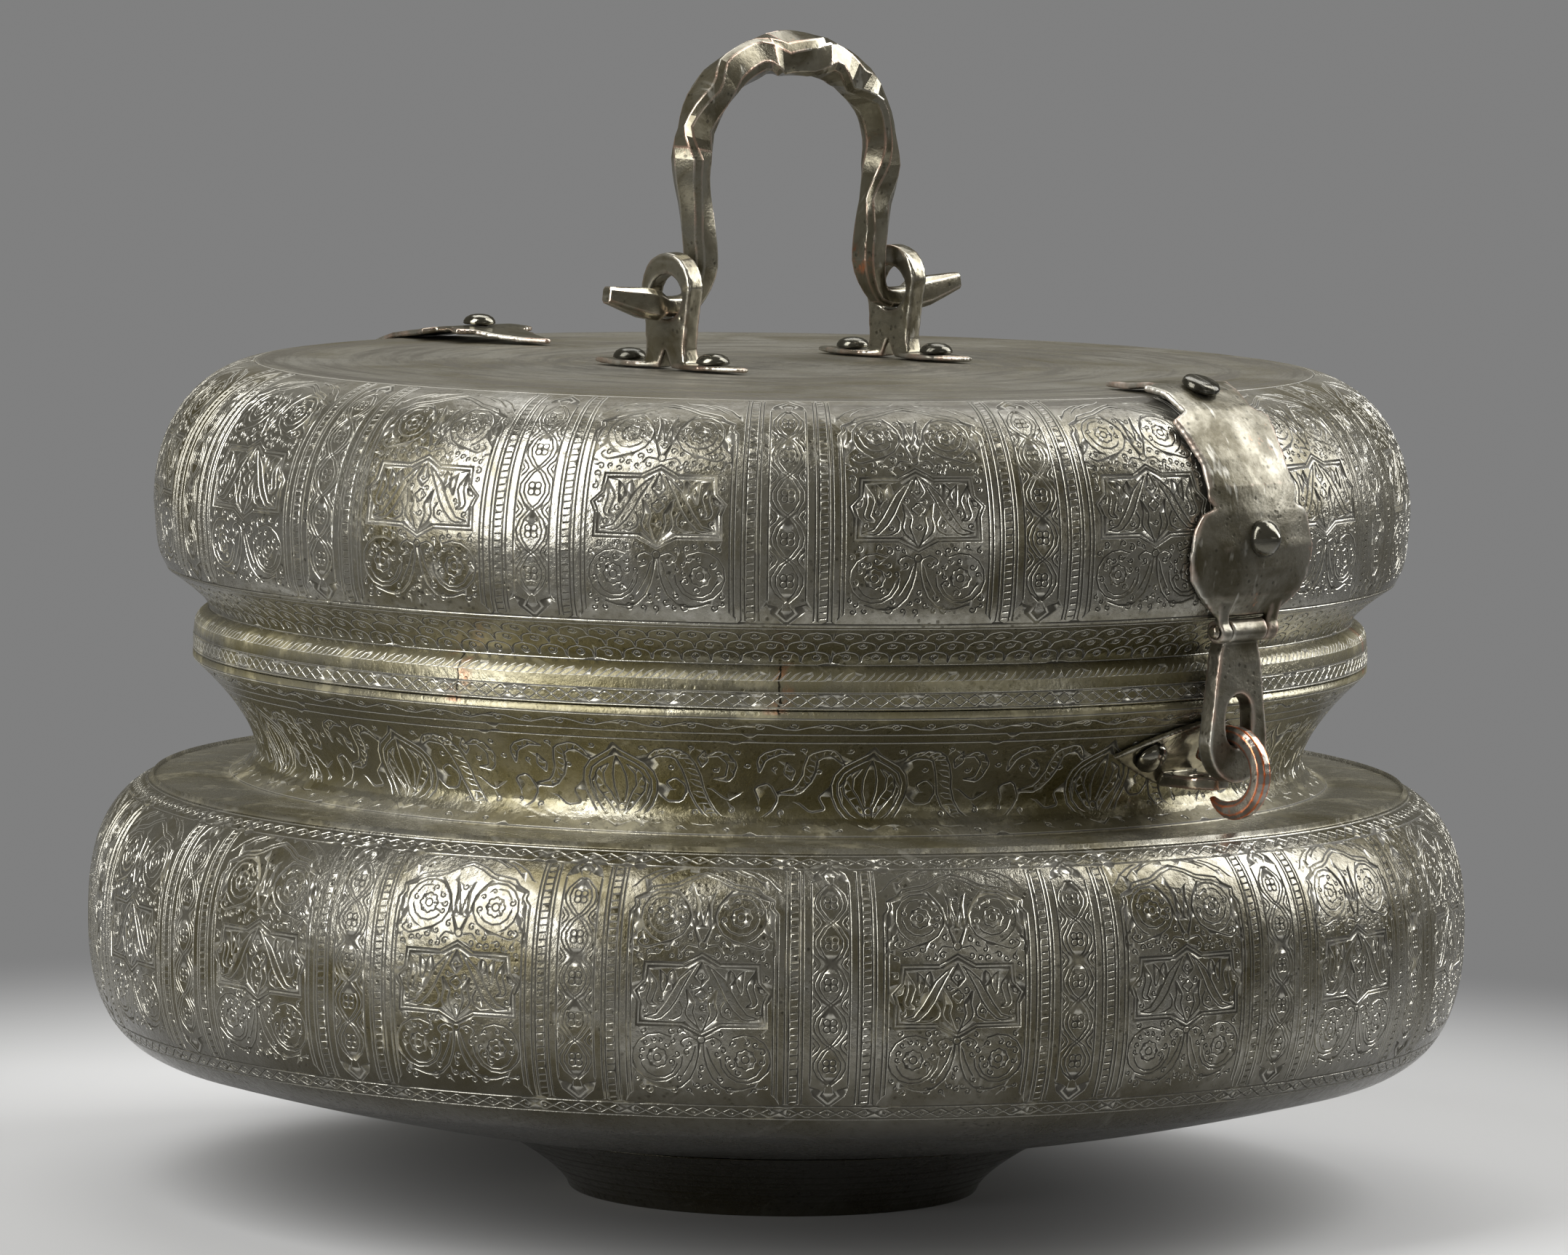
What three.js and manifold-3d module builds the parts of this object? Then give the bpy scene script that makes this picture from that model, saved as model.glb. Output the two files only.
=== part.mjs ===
// Lidded copper bowl with a forged bail handle, a riveted hasp with an open ring, and a strap hinge.
// Millimetres, +Z up. The origin is the centre of the foot's underside; the hasp faces -Y, the hinge +Y.
import * as THREE from "three";
import { mergeVertices } from "three/addons/utils/BufferGeometryUtils.js";
import Module from "manifold-3d";

const wasm = await Module();
wasm.setup();

// Fits
const seatGap = 0.3; // soldered, riveted and resting faces
const pinGap = 0.3; // radial, round hinge pins and rivet shanks
const sideGap = 0.4; // between hinge knuckles along their pin
const clenchGap = 0.6; // between a clenched rivet tail and the sheet

// Sheet
const wall = 1.6;
const plateSheet = 1.4;
const plateBulge = 2.2; // how far the hammered plates stand off the lid's shoulder
const plateBulgeSpan = 12;
const roundSteps = 44;

// Foot
const footRadius = 51.2;
const footRing = 4.4;
const footFlange = 74;
const footSeat = 11;
const footCurl = 1.5;

// Bowl
const floorHeight = 12;
const dishDepth = 21.5;
const dishPower = 1.9;
const shoulderReach = 34.5; // from the rolled bead out to the belly's widest
const bellyBulge = 26;
const bellyRise = 35;
const bellyPower = 2.5;
const bellyLowTurn = -68; // degrees of the belly's curve that are kept below and above its middle
const bellyHighTurn = 72;
const shoulderDrop = 0.5;
const rollReach = 7;
const rollSize = 1.9;
const neckRadius = 130;
const neckLow = 6;
const neckHeight = 31;
const neckFlare = 1.6;
const rimReach = 16;
const rimEdge = 1.8;
const rimLip = 2.4;

// Lid
const lidBand = 6.6;
const collarInset = 4;
const collarRise = 10.7;
const coveReach = 10.5;
const cornerRise = 20;
const coveFlare = 1.35;
const lidWallLean = 3.5;
const lidWallRise = 36.7;
const lidShoulderWidth = 30;
const lidShoulderHeight = 35;
const lidPower = 2.15;

// Bail handle and its eyes
const eyeSpacing = 79;
const eyeThickness = 5;
const eyeOuter = 17;
const eyeHole = 11.2;
const eyeHeight = 20.1;
const eyeDrop = 2.3;
const stemTop = 5;
const stemFoot = 7.5;
const splitHeight = 5;
const splitWidth = 4.4;
const leafReach = 27;
const leafWidth = 10;
const leafRivetReach = 14.5;
const bailEndHalf = 2.65;
const bailLegHalf = 3.7;
const bailTopHalf = 4.5;
const bailTipHalf = 1.7;
const bailWedgeHalf = 3.9;
const bailRise = 61.4;
const bailLegSpread = 33.4;
const bailNeckSpread = 29.8;
const bailNeckRise = 9;
const bailTipReach = 20;
const bailTipRise = 3.2;

// Hasp, its hinge, ring and neck staple
const haspPinRadius = 1.2;
const haspBarrel = 2.8;
const haspBarrelLength = 11.8;
const haspEarLength = 3.4;
const haspThickness = 4.2;
const haspLength = 36.6;
const haspTopHalf = 7;
const haspEndRadius = 10;
const haspStandOff = 3;
const slotWidth = 9.4;
const slotHeight = 13;
const slotLip = 8.4;
const ringOuter = 22.6;
const ringBar = 4.6;
const ringWidth = 4.3;
const ringEnd = 165;
const ringTail = 226;
const haspCrestInset = 47; // from the lid's widest in to the tip of the plate's crest
const haspStudRise = 19.5;
const haspRivetRise = 57.5;
const stapleReach = 24;
const stapleHeight = 21;
const stapleRise = 7.5; // from the tongue up to the leaf's middle
const stapleTongue = 3;
const stapleTongueWidth = 12;
const stapleHole = 7.6;
const stapleClearance = 0.8;
const stapleRivetReach = 13;

// Rear hinge
const hingePinRadius = 1.8;
const hingeBarrel = 4.2;
const hingeOffset = 7;
const hingeLift = 2;
const hingeKnuckle = 9.4;
const hingeLegWidth = 8;
const hingeStrapSheet = 1.8;
const hingeLeafReach = 22;
const hingeLeafHeight = 19;
const hingeCrestInset = 72;
const hingeWallRivetRise = 12;
const hingeRivetInset = 26;
const hingeArm = 2.6;
const hingeLeafRivetReach = 12;

// Rivets
const shankRadius = 1.7;
const tailRadius = 3;
const tailHeight = 1;
const plainHead = 4.2;
const plainHeadHeight = 2.6;
const broadHead = 4.7;
const broadHeadHeight = 2.2;
const studHead = 3.9;
const studHeadHeight = 5;
const pinHeadHeight = 0.9;
const pinHeadOverhang = 0.7;

// Radii and heights that follow from the sizes above
const rollRadius = neckRadius + rollReach;
const bellyRadius = rollRadius + shoulderReach;
const rimRadius = neckRadius + rimReach;
const collarRadius = rimRadius - collarInset;
const cornerRadius = collarRadius + coveReach;
const lidRadius = cornerRadius + lidWallLean;
const bellyZ = floorHeight + dishDepth + bellyRise;
const shoulderZ = bellyZ + bellyRise - shoulderDrop;
const neckZ = shoulderZ + neckLow;
const rimZ = shoulderZ + neckHeight;
const lidZ = rimZ + seatGap;
const cornerZ = lidZ + cornerRise;
const lidWallZ = lidZ + lidWallRise;
const lidTop = lidWallZ + lidShoulderHeight;

const xAxis = new THREE.Vector3(1, 0, 0);
const yAxis = new THREE.Vector3(0, 1, 0);
const zAxis = new THREE.Vector3(0, 0, 1);
const front = new THREE.Vector3(0, -1, 0);

// Closed geometry to a solid and back
function solidOf(geometry) {
  const bare = new THREE.BufferGeometry();
  bare.setAttribute("position", geometry.getAttribute("position").clone());
  if (geometry.index) bare.setIndex(geometry.index.clone());
  const merged = mergeVertices(bare, 1e-4);
  return new wasm.Manifold(
    new wasm.Mesh({
      numProp: 3,
      vertProperties: new Float32Array(merged.getAttribute("position").array),
      triVerts: new Uint32Array(merged.index.array),
    }),
  );
}

function geometryOf(solid) {
  const mesh = solid.getMesh();
  const geometry = new THREE.BufferGeometry();
  geometry.setAttribute("position", new THREE.BufferAttribute(mesh.vertProperties, 3));
  geometry.setIndex(new THREE.BufferAttribute(mesh.triVerts, 1));
  geometry.computeVertexNormals();
  return geometry;
}

// Turned form about Z from an outline of [radius, height] pairs
function turned(outline, steps = roundSteps) {
  const points = outline.map(([r, z]) => new THREE.Vector2(r, z));
  return new THREE.LatheGeometry(points, steps).rotateX(Math.PI / 2);
}

// Prism of a flat outline whose own axes lie along ax and ay, centred on its thickness
function prism(shape, depth, ax, ay) {
  const geometry = new THREE.ExtrudeGeometry(shape, { depth, bevelEnabled: false, curveSegments: 8 });
  const across = new THREE.Vector3().crossVectors(ax, ay);
  geometry.translate(0, 0, -depth / 2);
  return geometry.applyMatrix4(new THREE.Matrix4().makeBasis(ax, ay, across));
}

function rod(radius, length, axis, steps = 16) {
  const turn = new THREE.Quaternion().setFromUnitVectors(yAxis, axis);
  return new THREE.CylinderGeometry(radius, radius, length, steps).applyQuaternion(turn);
}

function circleShape(x, y, radius) {
  return new THREE.Shape().absarc(x, y, radius, 0, 2 * Math.PI, false);
}

function polygon(points) {
  return new THREE.Shape(points.map(([x, y]) => new THREE.Vector2(x, y)));
}

// Bar of changing section along a flat curve; half(t) gives its half sizes in the plane and across it
function forgedBar(curve, across, steps, half) {
  const sides = [
    [1, 0.5],
    [0.5, 1],
    [-0.5, 1],
    [-1, 0.5],
    [-1, -0.5],
    [-0.5, -1],
    [0.5, -1],
    [1, -0.5],
  ];
  const position = [];
  const index = [];
  for (let i = 0; i <= steps; i += 1) {
    const t = i / steps;
    const centre = curve.getPointAt(t);
    const inPlane = new THREE.Vector3().crossVectors(across, curve.getTangentAt(t));
    const [flat, deep] = half(t);
    for (const [a, b] of sides) {
      const corner = centre.clone().addScaledVector(inPlane, a * flat).addScaledVector(across, b * deep);
      position.push(corner.x, corner.y, corner.z);
    }
  }
  const n = sides.length;
  for (let i = 0; i < steps; i += 1) {
    for (let j = 0; j < n; j += 1) {
      const a = i * n + j;
      const b = i * n + ((j + 1) % n);
      index.push(a, b, a + n, b, b + n, a + n);
    }
  }
  const last = steps * n;
  for (let j = 1; j < n - 1; j += 1) {
    index.push(0, j + 1, j, last, last + j, last + j + 1);
  }
  const geometry = new THREE.BufferGeometry();
  geometry.setAttribute("position", new THREE.Float32BufferAttribute(position, 3));
  geometry.setIndex(index);
  return geometry;
}

// Outlines of the turned walls, from the bottom up
function superArc(radius, z, width, height, power, from, to, count) {
  const points = [];
  for (let i = 0; i <= count; i += 1) {
    const angle = THREE.MathUtils.degToRad(from + ((to - from) * i) / count);
    const reach = Math.cos(angle) ** (2 / power);
    const rise = Math.sign(angle) * Math.abs(Math.sin(angle)) ** (2 / power);
    points.push([radius - width + width * reach, z + height * rise]);
  }
  return points;
}

const belly = superArc(
  bellyRadius, bellyZ, bellyBulge, bellyRise, bellyPower, bellyLowTurn, bellyHighTurn, 10,
);
const [bellyFootRadius, bellyFootZ] = belly[0];

function undersideZ(radius) {
  return floorHeight + (bellyFootZ - floorHeight) * (radius / bellyFootRadius) ** dishPower;
}

const dish = [0, 0.3, 0.55, 0.8].map((f) => [f * bellyFootRadius, undersideZ(f * bellyFootRadius)]);

function neckAt(z) {
  const share = Math.max(0, (z - neckZ) / (rimZ - rimEdge - neckZ));
  return neckRadius + (rimRadius - neckRadius) * share ** neckFlare;
}

const neck = [];
for (let i = 0; i <= 6; i += 1) {
  const z = neckZ + ((rimZ - rimEdge - neckZ) * i) / 6;
  neck.push([neckAt(z), z]);
}

const roll = [
  [rollRadius, shoulderZ],
  [rollRadius - 0.3 * rollSize, shoulderZ + 1.2 * rollSize],
  [rollRadius - 1.3 * rollSize, shoulderZ + 1.7 * rollSize],
  [neckRadius + 0.6 * rollSize, shoulderZ + 1.8 * rollSize],
];

const cove = [0, 0.3, 0.65, 1].map((f) => [
  collarRadius + (cornerRadius - collarRadius) * f ** coveFlare,
  lidZ + collarRise + (cornerRise - collarRise) * f,
]);
const lidWall = [
  [(cornerRadius + 2 * lidRadius) / 3, (2 * cornerZ + lidWallZ) / 3],
];
const lidShoulder = superArc(
  lidRadius, lidWallZ, lidShoulderWidth, lidShoulderHeight, lidPower, 0, 90, 8,
);

function inset(points, depth) {
  return points.map(([r, z], i) => {
    const [r0, z0] = points[Math.max(0, i - 1)];
    const [r1, z1] = points[Math.min(points.length - 1, i + 1)];
    const length = Math.hypot(r1 - r0, z1 - z0);
    return [Math.max(0, r - (depth * (z1 - z0)) / length), z + (depth * (r1 - r0)) / length];
  });
}

const everyOther = (p, i) => i % 2 === 0;
const insideGuide = [
  ...dish,
  ...belly.filter(everyOther),
  [rollRadius, shoulderZ],
  ...neck.filter(everyOther),
];
const bowlInside = inset(insideGuide, wall).filter(([, z]) => z < rimZ - rimEdge);
bowlInside[0] = [0, floorHeight + wall];
const bowlOutline = [
  ...dish,
  ...belly,
  ...roll,
  ...neck,
  [rimRadius, rimZ],
  [rimRadius - rimLip, rimZ],
  ...bowlInside.reverse(),
];

const lidOutside = [...cove, ...lidWall, ...lidShoulder];
const lidInside = inset(lidOutside, wall);
lidInside[lidInside.length - 1] = [lidRadius - lidShoulderWidth, lidTop - wall];
const lidOutline = [
  [0, lidTop - wall],
  ...lidInside.reverse(),
  [collarRadius - wall, lidZ + lidBand],
  [rimRadius - rimLip, lidZ],
  [rimRadius, lidZ],
  [rimRadius, lidZ + lidBand],
  [collarRadius, lidZ + collarRise - 2 * seatGap],
  ...lidOutside,
  [0, lidTop],
];

const footTop = undersideZ(footFlange) - seatGap;
const footInnerTop = undersideZ(footFlange - footSeat) - seatGap;
const footOutline = [];
for (let i = 0; i <= 5; i += 1) {
  footOutline.push([footRadius + (footFlange - footRadius) * (i / 5) ** footCurl, (footTop * i) / 5]);
}
for (let i = 3; i >= 0; i -= 1) {
  const inner = footRadius - footRing;
  footOutline.push([inner + (footFlange - footSeat - inner) * (i / 3) ** footCurl, (footInnerTop * i) / 3]);
}
footOutline.push(footOutline[0]);

// A turned wall as a path: distance along it gives a point and an outward normal
class WallPath {
  constructor(points) {
    this.points = points.map(([r, z]) => new THREE.Vector2(r, z));
    this.along = [0];
    for (let i = 1; i < points.length; i += 1) {
      this.along.push(this.along[i - 1] + this.points[i].distanceTo(this.points[i - 1]));
    }
    this.normals = this.points.map((p, i) => {
      const before = this.points[Math.max(0, i - 1)];
      const after = this.points[Math.min(points.length - 1, i + 1)];
      return new THREE.Vector2(after.y - before.y, before.x - after.x).normalize();
    });
  }

  at(s) {
    let i = 1;
    while (i < this.along.length - 1 && this.along[i] < s) i += 1;
    const f = (s - this.along[i - 1]) / (this.along[i] - this.along[i - 1]);
    return {
      point: this.points[i - 1].clone().lerp(this.points[i], f),
      normal: this.normals[i - 1].clone().lerp(this.normals[i], f).normalize(),
    };
  }

  alongAtRadius(radius) {
    const i = this.points.findIndex((p, k) => k > 1 && p.x <= radius);
    const f = (this.points[i - 1].x - radius) / (this.points[i - 1].x - this.points[i].x);
    return this.along[i - 1] + f * (this.along[i] - this.along[i - 1]);
  }

  alongAtHeight(z) {
    const i = this.points.findIndex((p) => p.y >= z);
    const f = (z - this.points[i - 1].y) / (this.points[i].y - this.points[i - 1].y);
    return this.along[i - 1] + f * (this.along[i] - this.along[i - 1]);
  }
}

const lidPath = new WallPath([[cornerRadius, cornerZ], ...lidWall, ...lidShoulder, [0, lidTop]]);
const neckPath = new WallPath(neck);

// Rows of a plate's outline, with one more wherever the wall below it bends
function seatedRows(path, outline) {
  const [first] = outline[0];
  const [last] = outline[outline.length - 1];
  const apart = (s) => outline.every(([o]) => Math.abs(o - s) > 0.8);
  const bends = path.along.filter((s) => s > first && s < last && apart(s));
  const widthAt = (s) => {
    const i = outline.findIndex(([o]) => o >= s);
    const [s0, w0] = outline[i - 1];
    const [s1, w1] = outline[i];
    return w0 + ((w1 - w0) * (s - s0)) / (s1 - s0);
  };
  return [...outline, ...bends.map((s) => [s, widthAt(s)])].sort((a, b) => a[0] - b[0]);
}

// Sheet plate hammered onto a turned wall; its outline is [distance, half width], on the side facing `side`
function wallPlate(path, outline, sheet, side, standOff = () => 0) {
  const columns = 4;
  const rows = seatedRows(path, outline);
  const position = [];
  const index = [];
  for (const layer of [seatGap, seatGap + sheet]) {
    for (const [s, width] of rows) {
      const { point, normal } = path.at(s);
      const offset = layer + standOff(s);
      const radius = point.x + offset * normal.x;
      for (let j = 0; j <= columns; j += 1) {
        const angle = (side * width * ((2 * j) / columns - 1)) / point.x;
        const z = point.y + offset * normal.y;
        position.push(radius * Math.sin(angle), side * radius * Math.cos(angle), z);
      }
    }
  }
  const stride = columns + 1;
  const layer = rows.length * stride;
  const quad = (a, b, c, d) => index.push(a, b, c, a, c, d);
  for (let i = 0; i < rows.length - 1; i += 1) {
    for (let j = 0; j < columns; j += 1) {
      const a = i * stride + j;
      quad(a, a + 1, a + stride + 1, a + stride);
      quad(layer + a, layer + a + stride, layer + a + stride + 1, layer + a + 1);
    }
    const left = i * stride;
    const right = left + columns;
    quad(left, left + stride, layer + left + stride, layer + left);
    quad(right, layer + right, layer + right + stride, right + stride);
  }
  const top = (rows.length - 1) * stride;
  for (let j = 0; j < columns; j += 1) {
    quad(j, layer + j, layer + j + 1, j + 1);
    quad(top + j, top + j + 1, layer + top + j + 1, layer + top + j);
  }
  const geometry = new THREE.BufferGeometry();
  geometry.setAttribute("position", new THREE.Float32BufferAttribute(position, 3));
  geometry.setIndex(index);
  return geometry;
}

// Place on a turned wall: `turn` is the angle round Z from the side that faces `side`
function wallSpot(path, s, side, turn = 0) {
  const { point, normal } = path.at(s);
  const out = new THREE.Vector3(Math.sin(turn), side * Math.cos(turn), 0);
  return {
    point: out.clone().multiplyScalar(point.x).setZ(point.y),
    normal: out.clone().multiplyScalar(normal.x).setZ(normal.y),
  };
}

function drill(solid, spot) {
  const depth = 4 * (wall + plateSheet);
  const turn = new THREE.Quaternion().setFromUnitVectors(yAxis, spot.normal);
  const cutter = new THREE.CylinderGeometry(shankRadius + pinGap, shankRadius + pinGap, depth, 10);
  cutter.applyQuaternion(turn).translate(spot.point.x, spot.point.y, spot.point.z);
  return solid.subtract(solidOf(cutter));
}

// Surfaces: tarnished tin over copper, and bare copper where hands have worn it
const tinned = { color: 0x6a6353, roughness: 0.42, metalness: 0.85 };
const forged = { color: 0x746c5a, roughness: 0.38, metalness: 0.9 };
const bareCopper = { color: 0x8a6248, roughness: 0.35, metalness: 0.9 };

function piece(name, geometry, look) {
  const mesh = new THREE.Mesh(geometry, new THREE.MeshStandardMaterial(look));
  mesh.name = name;
  return mesh;
}

// Rivet through a plate and a turned wall: head outside, clenched tail inside
const domeHead = [[1, 0], [0.86, 0.55], [0.45, 0.92]];
const flatHead = [[1, 0], [0.96, 0.6], [0.78, 1]];
const pointedHead = [[1, 0], [0.8, 0.42], [0.3, 0.86]];

function rivet(name, spot, sheet, radius, height, form) {
  const seat = sheet + 2 * seatGap;
  const inner = -wall - clenchGap;
  const outline = [
    [0, inner - tailHeight],
    [tailRadius, inner],
    [shankRadius, inner],
    [shankRadius, seat],
    ...form.map(([f, h]) => [f * radius, seat + h * height]),
    [0, seat + height],
  ];
  const mesh = piece(name, turned(outline, 8), forged);
  mesh.position.copy(spot.point);
  mesh.quaternion.setFromUnitVectors(zAxis, spot.normal);
  return mesh;
}

// Hinge pin with peened ends, along X
function hingePin(name, radius, length) {
  const half = length / 2 + seatGap;
  const head = radius + pinHeadOverhang;
  const outline = [
    [0, -half - pinHeadHeight],
    [0.6 * head, -half - pinHeadHeight],
    [head, -half],
    [radius, -half],
    [radius, half],
    [head, half],
    [0.6 * head, half + pinHeadHeight],
    [0, half + pinHeadHeight],
  ];
  return piece(name, turned(outline, 12).rotateY(Math.PI / 2), forged);
}

// Bowl side
const hingeLeafZ = neckZ + hingeLeafHeight / 2 + 1;
const hingeLeafMid = neckPath.alongAtHeight(hingeLeafZ);
const haspRadius = rimRadius + haspStandOff + haspThickness / 2;
const haspPin = new THREE.Vector2(cornerRadius + 1.1, cornerZ - haspBarrel - 0.4);
const haspEnd = haspPin.y - haspLength;
const ringMean = (ringOuter - ringBar) / 2;
const ringSeat = Math.sqrt((ringMean - ringBar / 2 - seatGap) ** 2 - (haspThickness / 2) ** 2);
const ringZ = haspEnd + slotLip - ringSeat; // the ring hangs on the lip below the hasp's slot
const tongueZ = ringZ - 0.3 * ringBar - stapleTongue / 2;
const stapleZ = tongueZ + stapleRise;
const stapleMid = neckPath.alongAtHeight(stapleZ);

function leafRows(mid, height, reach, power) {
  const rows = [];
  const count = 10;
  for (let i = 0; i <= count; i += 1) {
    const u = (2 * i) / count - 1;
    rows.push([mid + (u * height) / 2, 0.06 * reach + 0.94 * reach * (1 - Math.abs(u)) ** power]);
  }
  return rows;
}

const stapleSpots = [-1, 1].map((side) =>
  wallSpot(neckPath, stapleMid, -1, (side * stapleRivetReach) / neckAt(stapleZ)),
);
const hingeLeafSpots = [-1, 1].map((side) =>
  wallSpot(neckPath, hingeLeafMid, 1, (side * hingeLeafRivetReach) / neckAt(hingeLeafZ)),
);

// The staple is a leaf plate with a level tongue; the ring's end turns down through the tongue's hole
const tongueTip = haspRadius - haspThickness / 2 - stapleClearance;
const tongueRoot = neckAt(tongueZ) + seatGap + plateSheet / 2;
const tongueEnd = tongueTip - stapleTongueWidth / 2;
const tongue = new THREE.Shape();
tongue.moveTo(-stapleTongueWidth / 2, tongueRoot);
tongue.lineTo(stapleTongueWidth / 2, tongueRoot);
tongue.lineTo(stapleTongueWidth / 2, tongueEnd);
tongue.absarc(0, tongueEnd, stapleTongueWidth / 2, 0, Math.PI, false);
tongue.holes.push(circleShape(0, haspRadius - ringMean + 0.2, stapleHole / 2));
const tongueBar = prism(tongue, stapleTongue, xAxis.clone().negate(), front).translate(0, 0, tongueZ);
const stapleRows = leafRows(stapleMid, stapleHeight, stapleReach, 0.75);
let staple = solidOf(wallPlate(neckPath, stapleRows, plateSheet, -1)).add(solidOf(tongueBar));
stapleSpots.forEach((spot) => {
  staple = drill(staple, spot);
});

// The hinge leaf sits on the neck; its arm passes under the rim to the middle knuckle
const hingeAxis = new THREE.Vector2(rimRadius + hingeOffset, lidZ + hingeLift);
const armFoot = new THREE.Vector2(neckAt(rimZ - 9) + seatGap + hingeArm / 2, rimZ - 9.6);
const armWay = hingeAxis.clone().sub(armFoot).normalize();
const armSide = new THREE.Vector2(armWay.y, -armWay.x).multiplyScalar(hingeArm / 2);
const armDrop = armSide.clone().multiplyScalar(1.5);
const armShape = polygon([
  [armFoot.x - armSide.x + armDrop.x / 2, armFoot.y - armSide.y + armDrop.y / 2],
  [armFoot.x + armSide.x + armDrop.x, armFoot.y + armSide.y + armDrop.y],
  [hingeAxis.x + armSide.x + armDrop.x, hingeAxis.y + armSide.y + armDrop.y],
  [hingeAxis.x - armSide.x + armDrop.x, hingeAxis.y - armSide.y + armDrop.y],
]);
const hingeLength = hingeKnuckle + 2 * sideGap + 2 * hingeLegWidth;
const onHinge = (geometry, x = 0) => solidOf(geometry.translate(x, hingeAxis.x, hingeAxis.y));
const hingeBore = onHinge(rod(hingePinRadius + pinGap, 2 * hingeLength, xAxis));
const middleKnuckle = onHinge(rod(hingeBarrel, hingeKnuckle, xAxis));
const hingeLeafRows = leafRows(hingeLeafMid, hingeLeafHeight, hingeLeafReach, 0.6);
let hingeLeaf = solidOf(wallPlate(neckPath, hingeLeafRows, plateSheet, 1));
hingeLeaf = hingeLeaf.add(solidOf(prism(armShape, hingeKnuckle, yAxis, zAxis))).add(middleKnuckle);
hingeLeaf = hingeLeaf.subtract(hingeBore);
hingeLeafSpots.forEach((spot) => {
  hingeLeaf = drill(hingeLeaf, spot);
});

let bowl = solidOf(turned(bowlOutline));
[...stapleSpots, ...hingeLeafSpots].forEach((spot) => {
  bowl = drill(bowl, spot);
});

const pinMesh = hingePin("hinge_pin", hingePinRadius, hingeLength);
pinMesh.position.set(0, hingeAxis.x, hingeAxis.y);

const bowlGroup = new THREE.Group();
bowlGroup.add(
  piece("bowl", geometryOf(bowl), tinned),
  piece("foot", turned(footOutline, 36), tinned),
  piece("staple_lug", geometryOf(staple), forged),
  piece("hinge_bowl_leaf", geometryOf(hingeLeaf), forged),
  pinMesh,
);
stapleSpots.forEach((spot, i) => {
  bowlGroup.add(rivet(`staple_rivet_${i + 1}`, spot, plateSheet, plainHead, plainHeadHeight, domeHead));
});
hingeLeafSpots.forEach((spot, i) => {
  bowlGroup.add(rivet(`hinge_leaf_rivet_${i + 1}`, spot, plateSheet, plainHead, plainHeadHeight, domeHead));
});

// Lid side: the hasp plate's outline from its hinge edge up over the shoulder to its crest
const haspCrest = lidPath.alongAtRadius(lidRadius - haspCrestInset);
const haspPlateRows = [
  [1, 9.8], [5, 13.6], [10, 16.8], [16, 17.8], [22, 16.6], [25.5, 14.8], [27, 11.8], [29, 13.4],
  [37, 13.2], [43, 14.8], [48.5, 16.6], [50.5, 11.8], [haspRivetRise, 12.6], [61, 14.6], [63, 9], [66.5, 7.6],
  [haspCrest - 10, 4.8], [haspCrest, 0.8],
];
const haspPlateSpots = [wallSpot(lidPath, haspStudRise, -1), wallSpot(lidPath, haspRivetRise, -1)];
const hingeCrest = lidPath.alongAtRadius(lidRadius - hingeCrestInset);
const hingeStrapRows = [
  [1, 13], [6, 15], [14, 15], [20, 12.6], [30, 10.6], [44, 10], [hingeCrest - 40, 10],
  [hingeCrest - 34, 13.4], [hingeCrest - 31.5, 10], [hingeCrest - hingeRivetInset, 11.4],
  [hingeCrest - 21, 13.6], [hingeCrest - 19, 8.4], [hingeCrest - 15, 7.4], [hingeCrest - 8, 4.4], [hingeCrest, 0.8],
];
const hingeRivetRise = hingeCrest - hingeRivetInset;
const hingeStrapSpots = [wallSpot(lidPath, hingeWallRivetRise, 1), wallSpot(lidPath, hingeRivetRise, 1)];
const bulgeAt = (middle) => (s) => plateBulge * Math.exp(-(((s - middle) / plateBulgeSpan) ** 2));
const haspBulge = bulgeAt(haspRivetRise);
const hingeBulge = bulgeAt(hingeRivetRise);
const haspStudSheet = plateSheet + haspBulge(haspStudRise);
const haspRivetSheet = plateSheet + haspBulge(haspRivetRise);
const hingeRivetSheet = plateSheet + hingeBulge(hingeRivetRise);

// Ears of the hasp plate stand below its hinge edge, one at each end of the hasp's own knuckle
const earFace = lidPath.at(4).point.x + seatGap;
const earShape = polygon([
  [earFace, haspPin.y],
  [earFace + plateSheet, haspPin.y],
  [earFace + plateSheet, cornerZ + 4],
  [earFace, cornerZ + 4],
]);
const haspPinLength = haspBarrelLength + 2 * sideGap + 2 * haspEarLength;
const haspBoreRod = rod(haspPinRadius + pinGap, 2 * haspPinLength, xAxis);
const haspBore = solidOf(haspBoreRod.clone().translate(0, -haspPin.x, haspPin.y));
let haspPlate = solidOf(wallPlate(lidPath, haspPlateRows, plateSheet, -1, haspBulge));
[-1, 1].forEach((side) => {
  const x = side * (haspBarrelLength / 2 + sideGap + haspEarLength / 2);
  const ear = solidOf(rod(haspBarrel, haspEarLength, xAxis).translate(x, -haspPin.x, haspPin.y));
  const web = solidOf(prism(earShape, haspEarLength, front, zAxis).translate(x, 0, 0));
  haspPlate = haspPlate.add(ear).add(web);
});
haspPlate = haspPlate.subtract(haspBore);
haspPlateSpots.forEach((spot) => {
  haspPlate = drill(haspPlate, spot);
});

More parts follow.
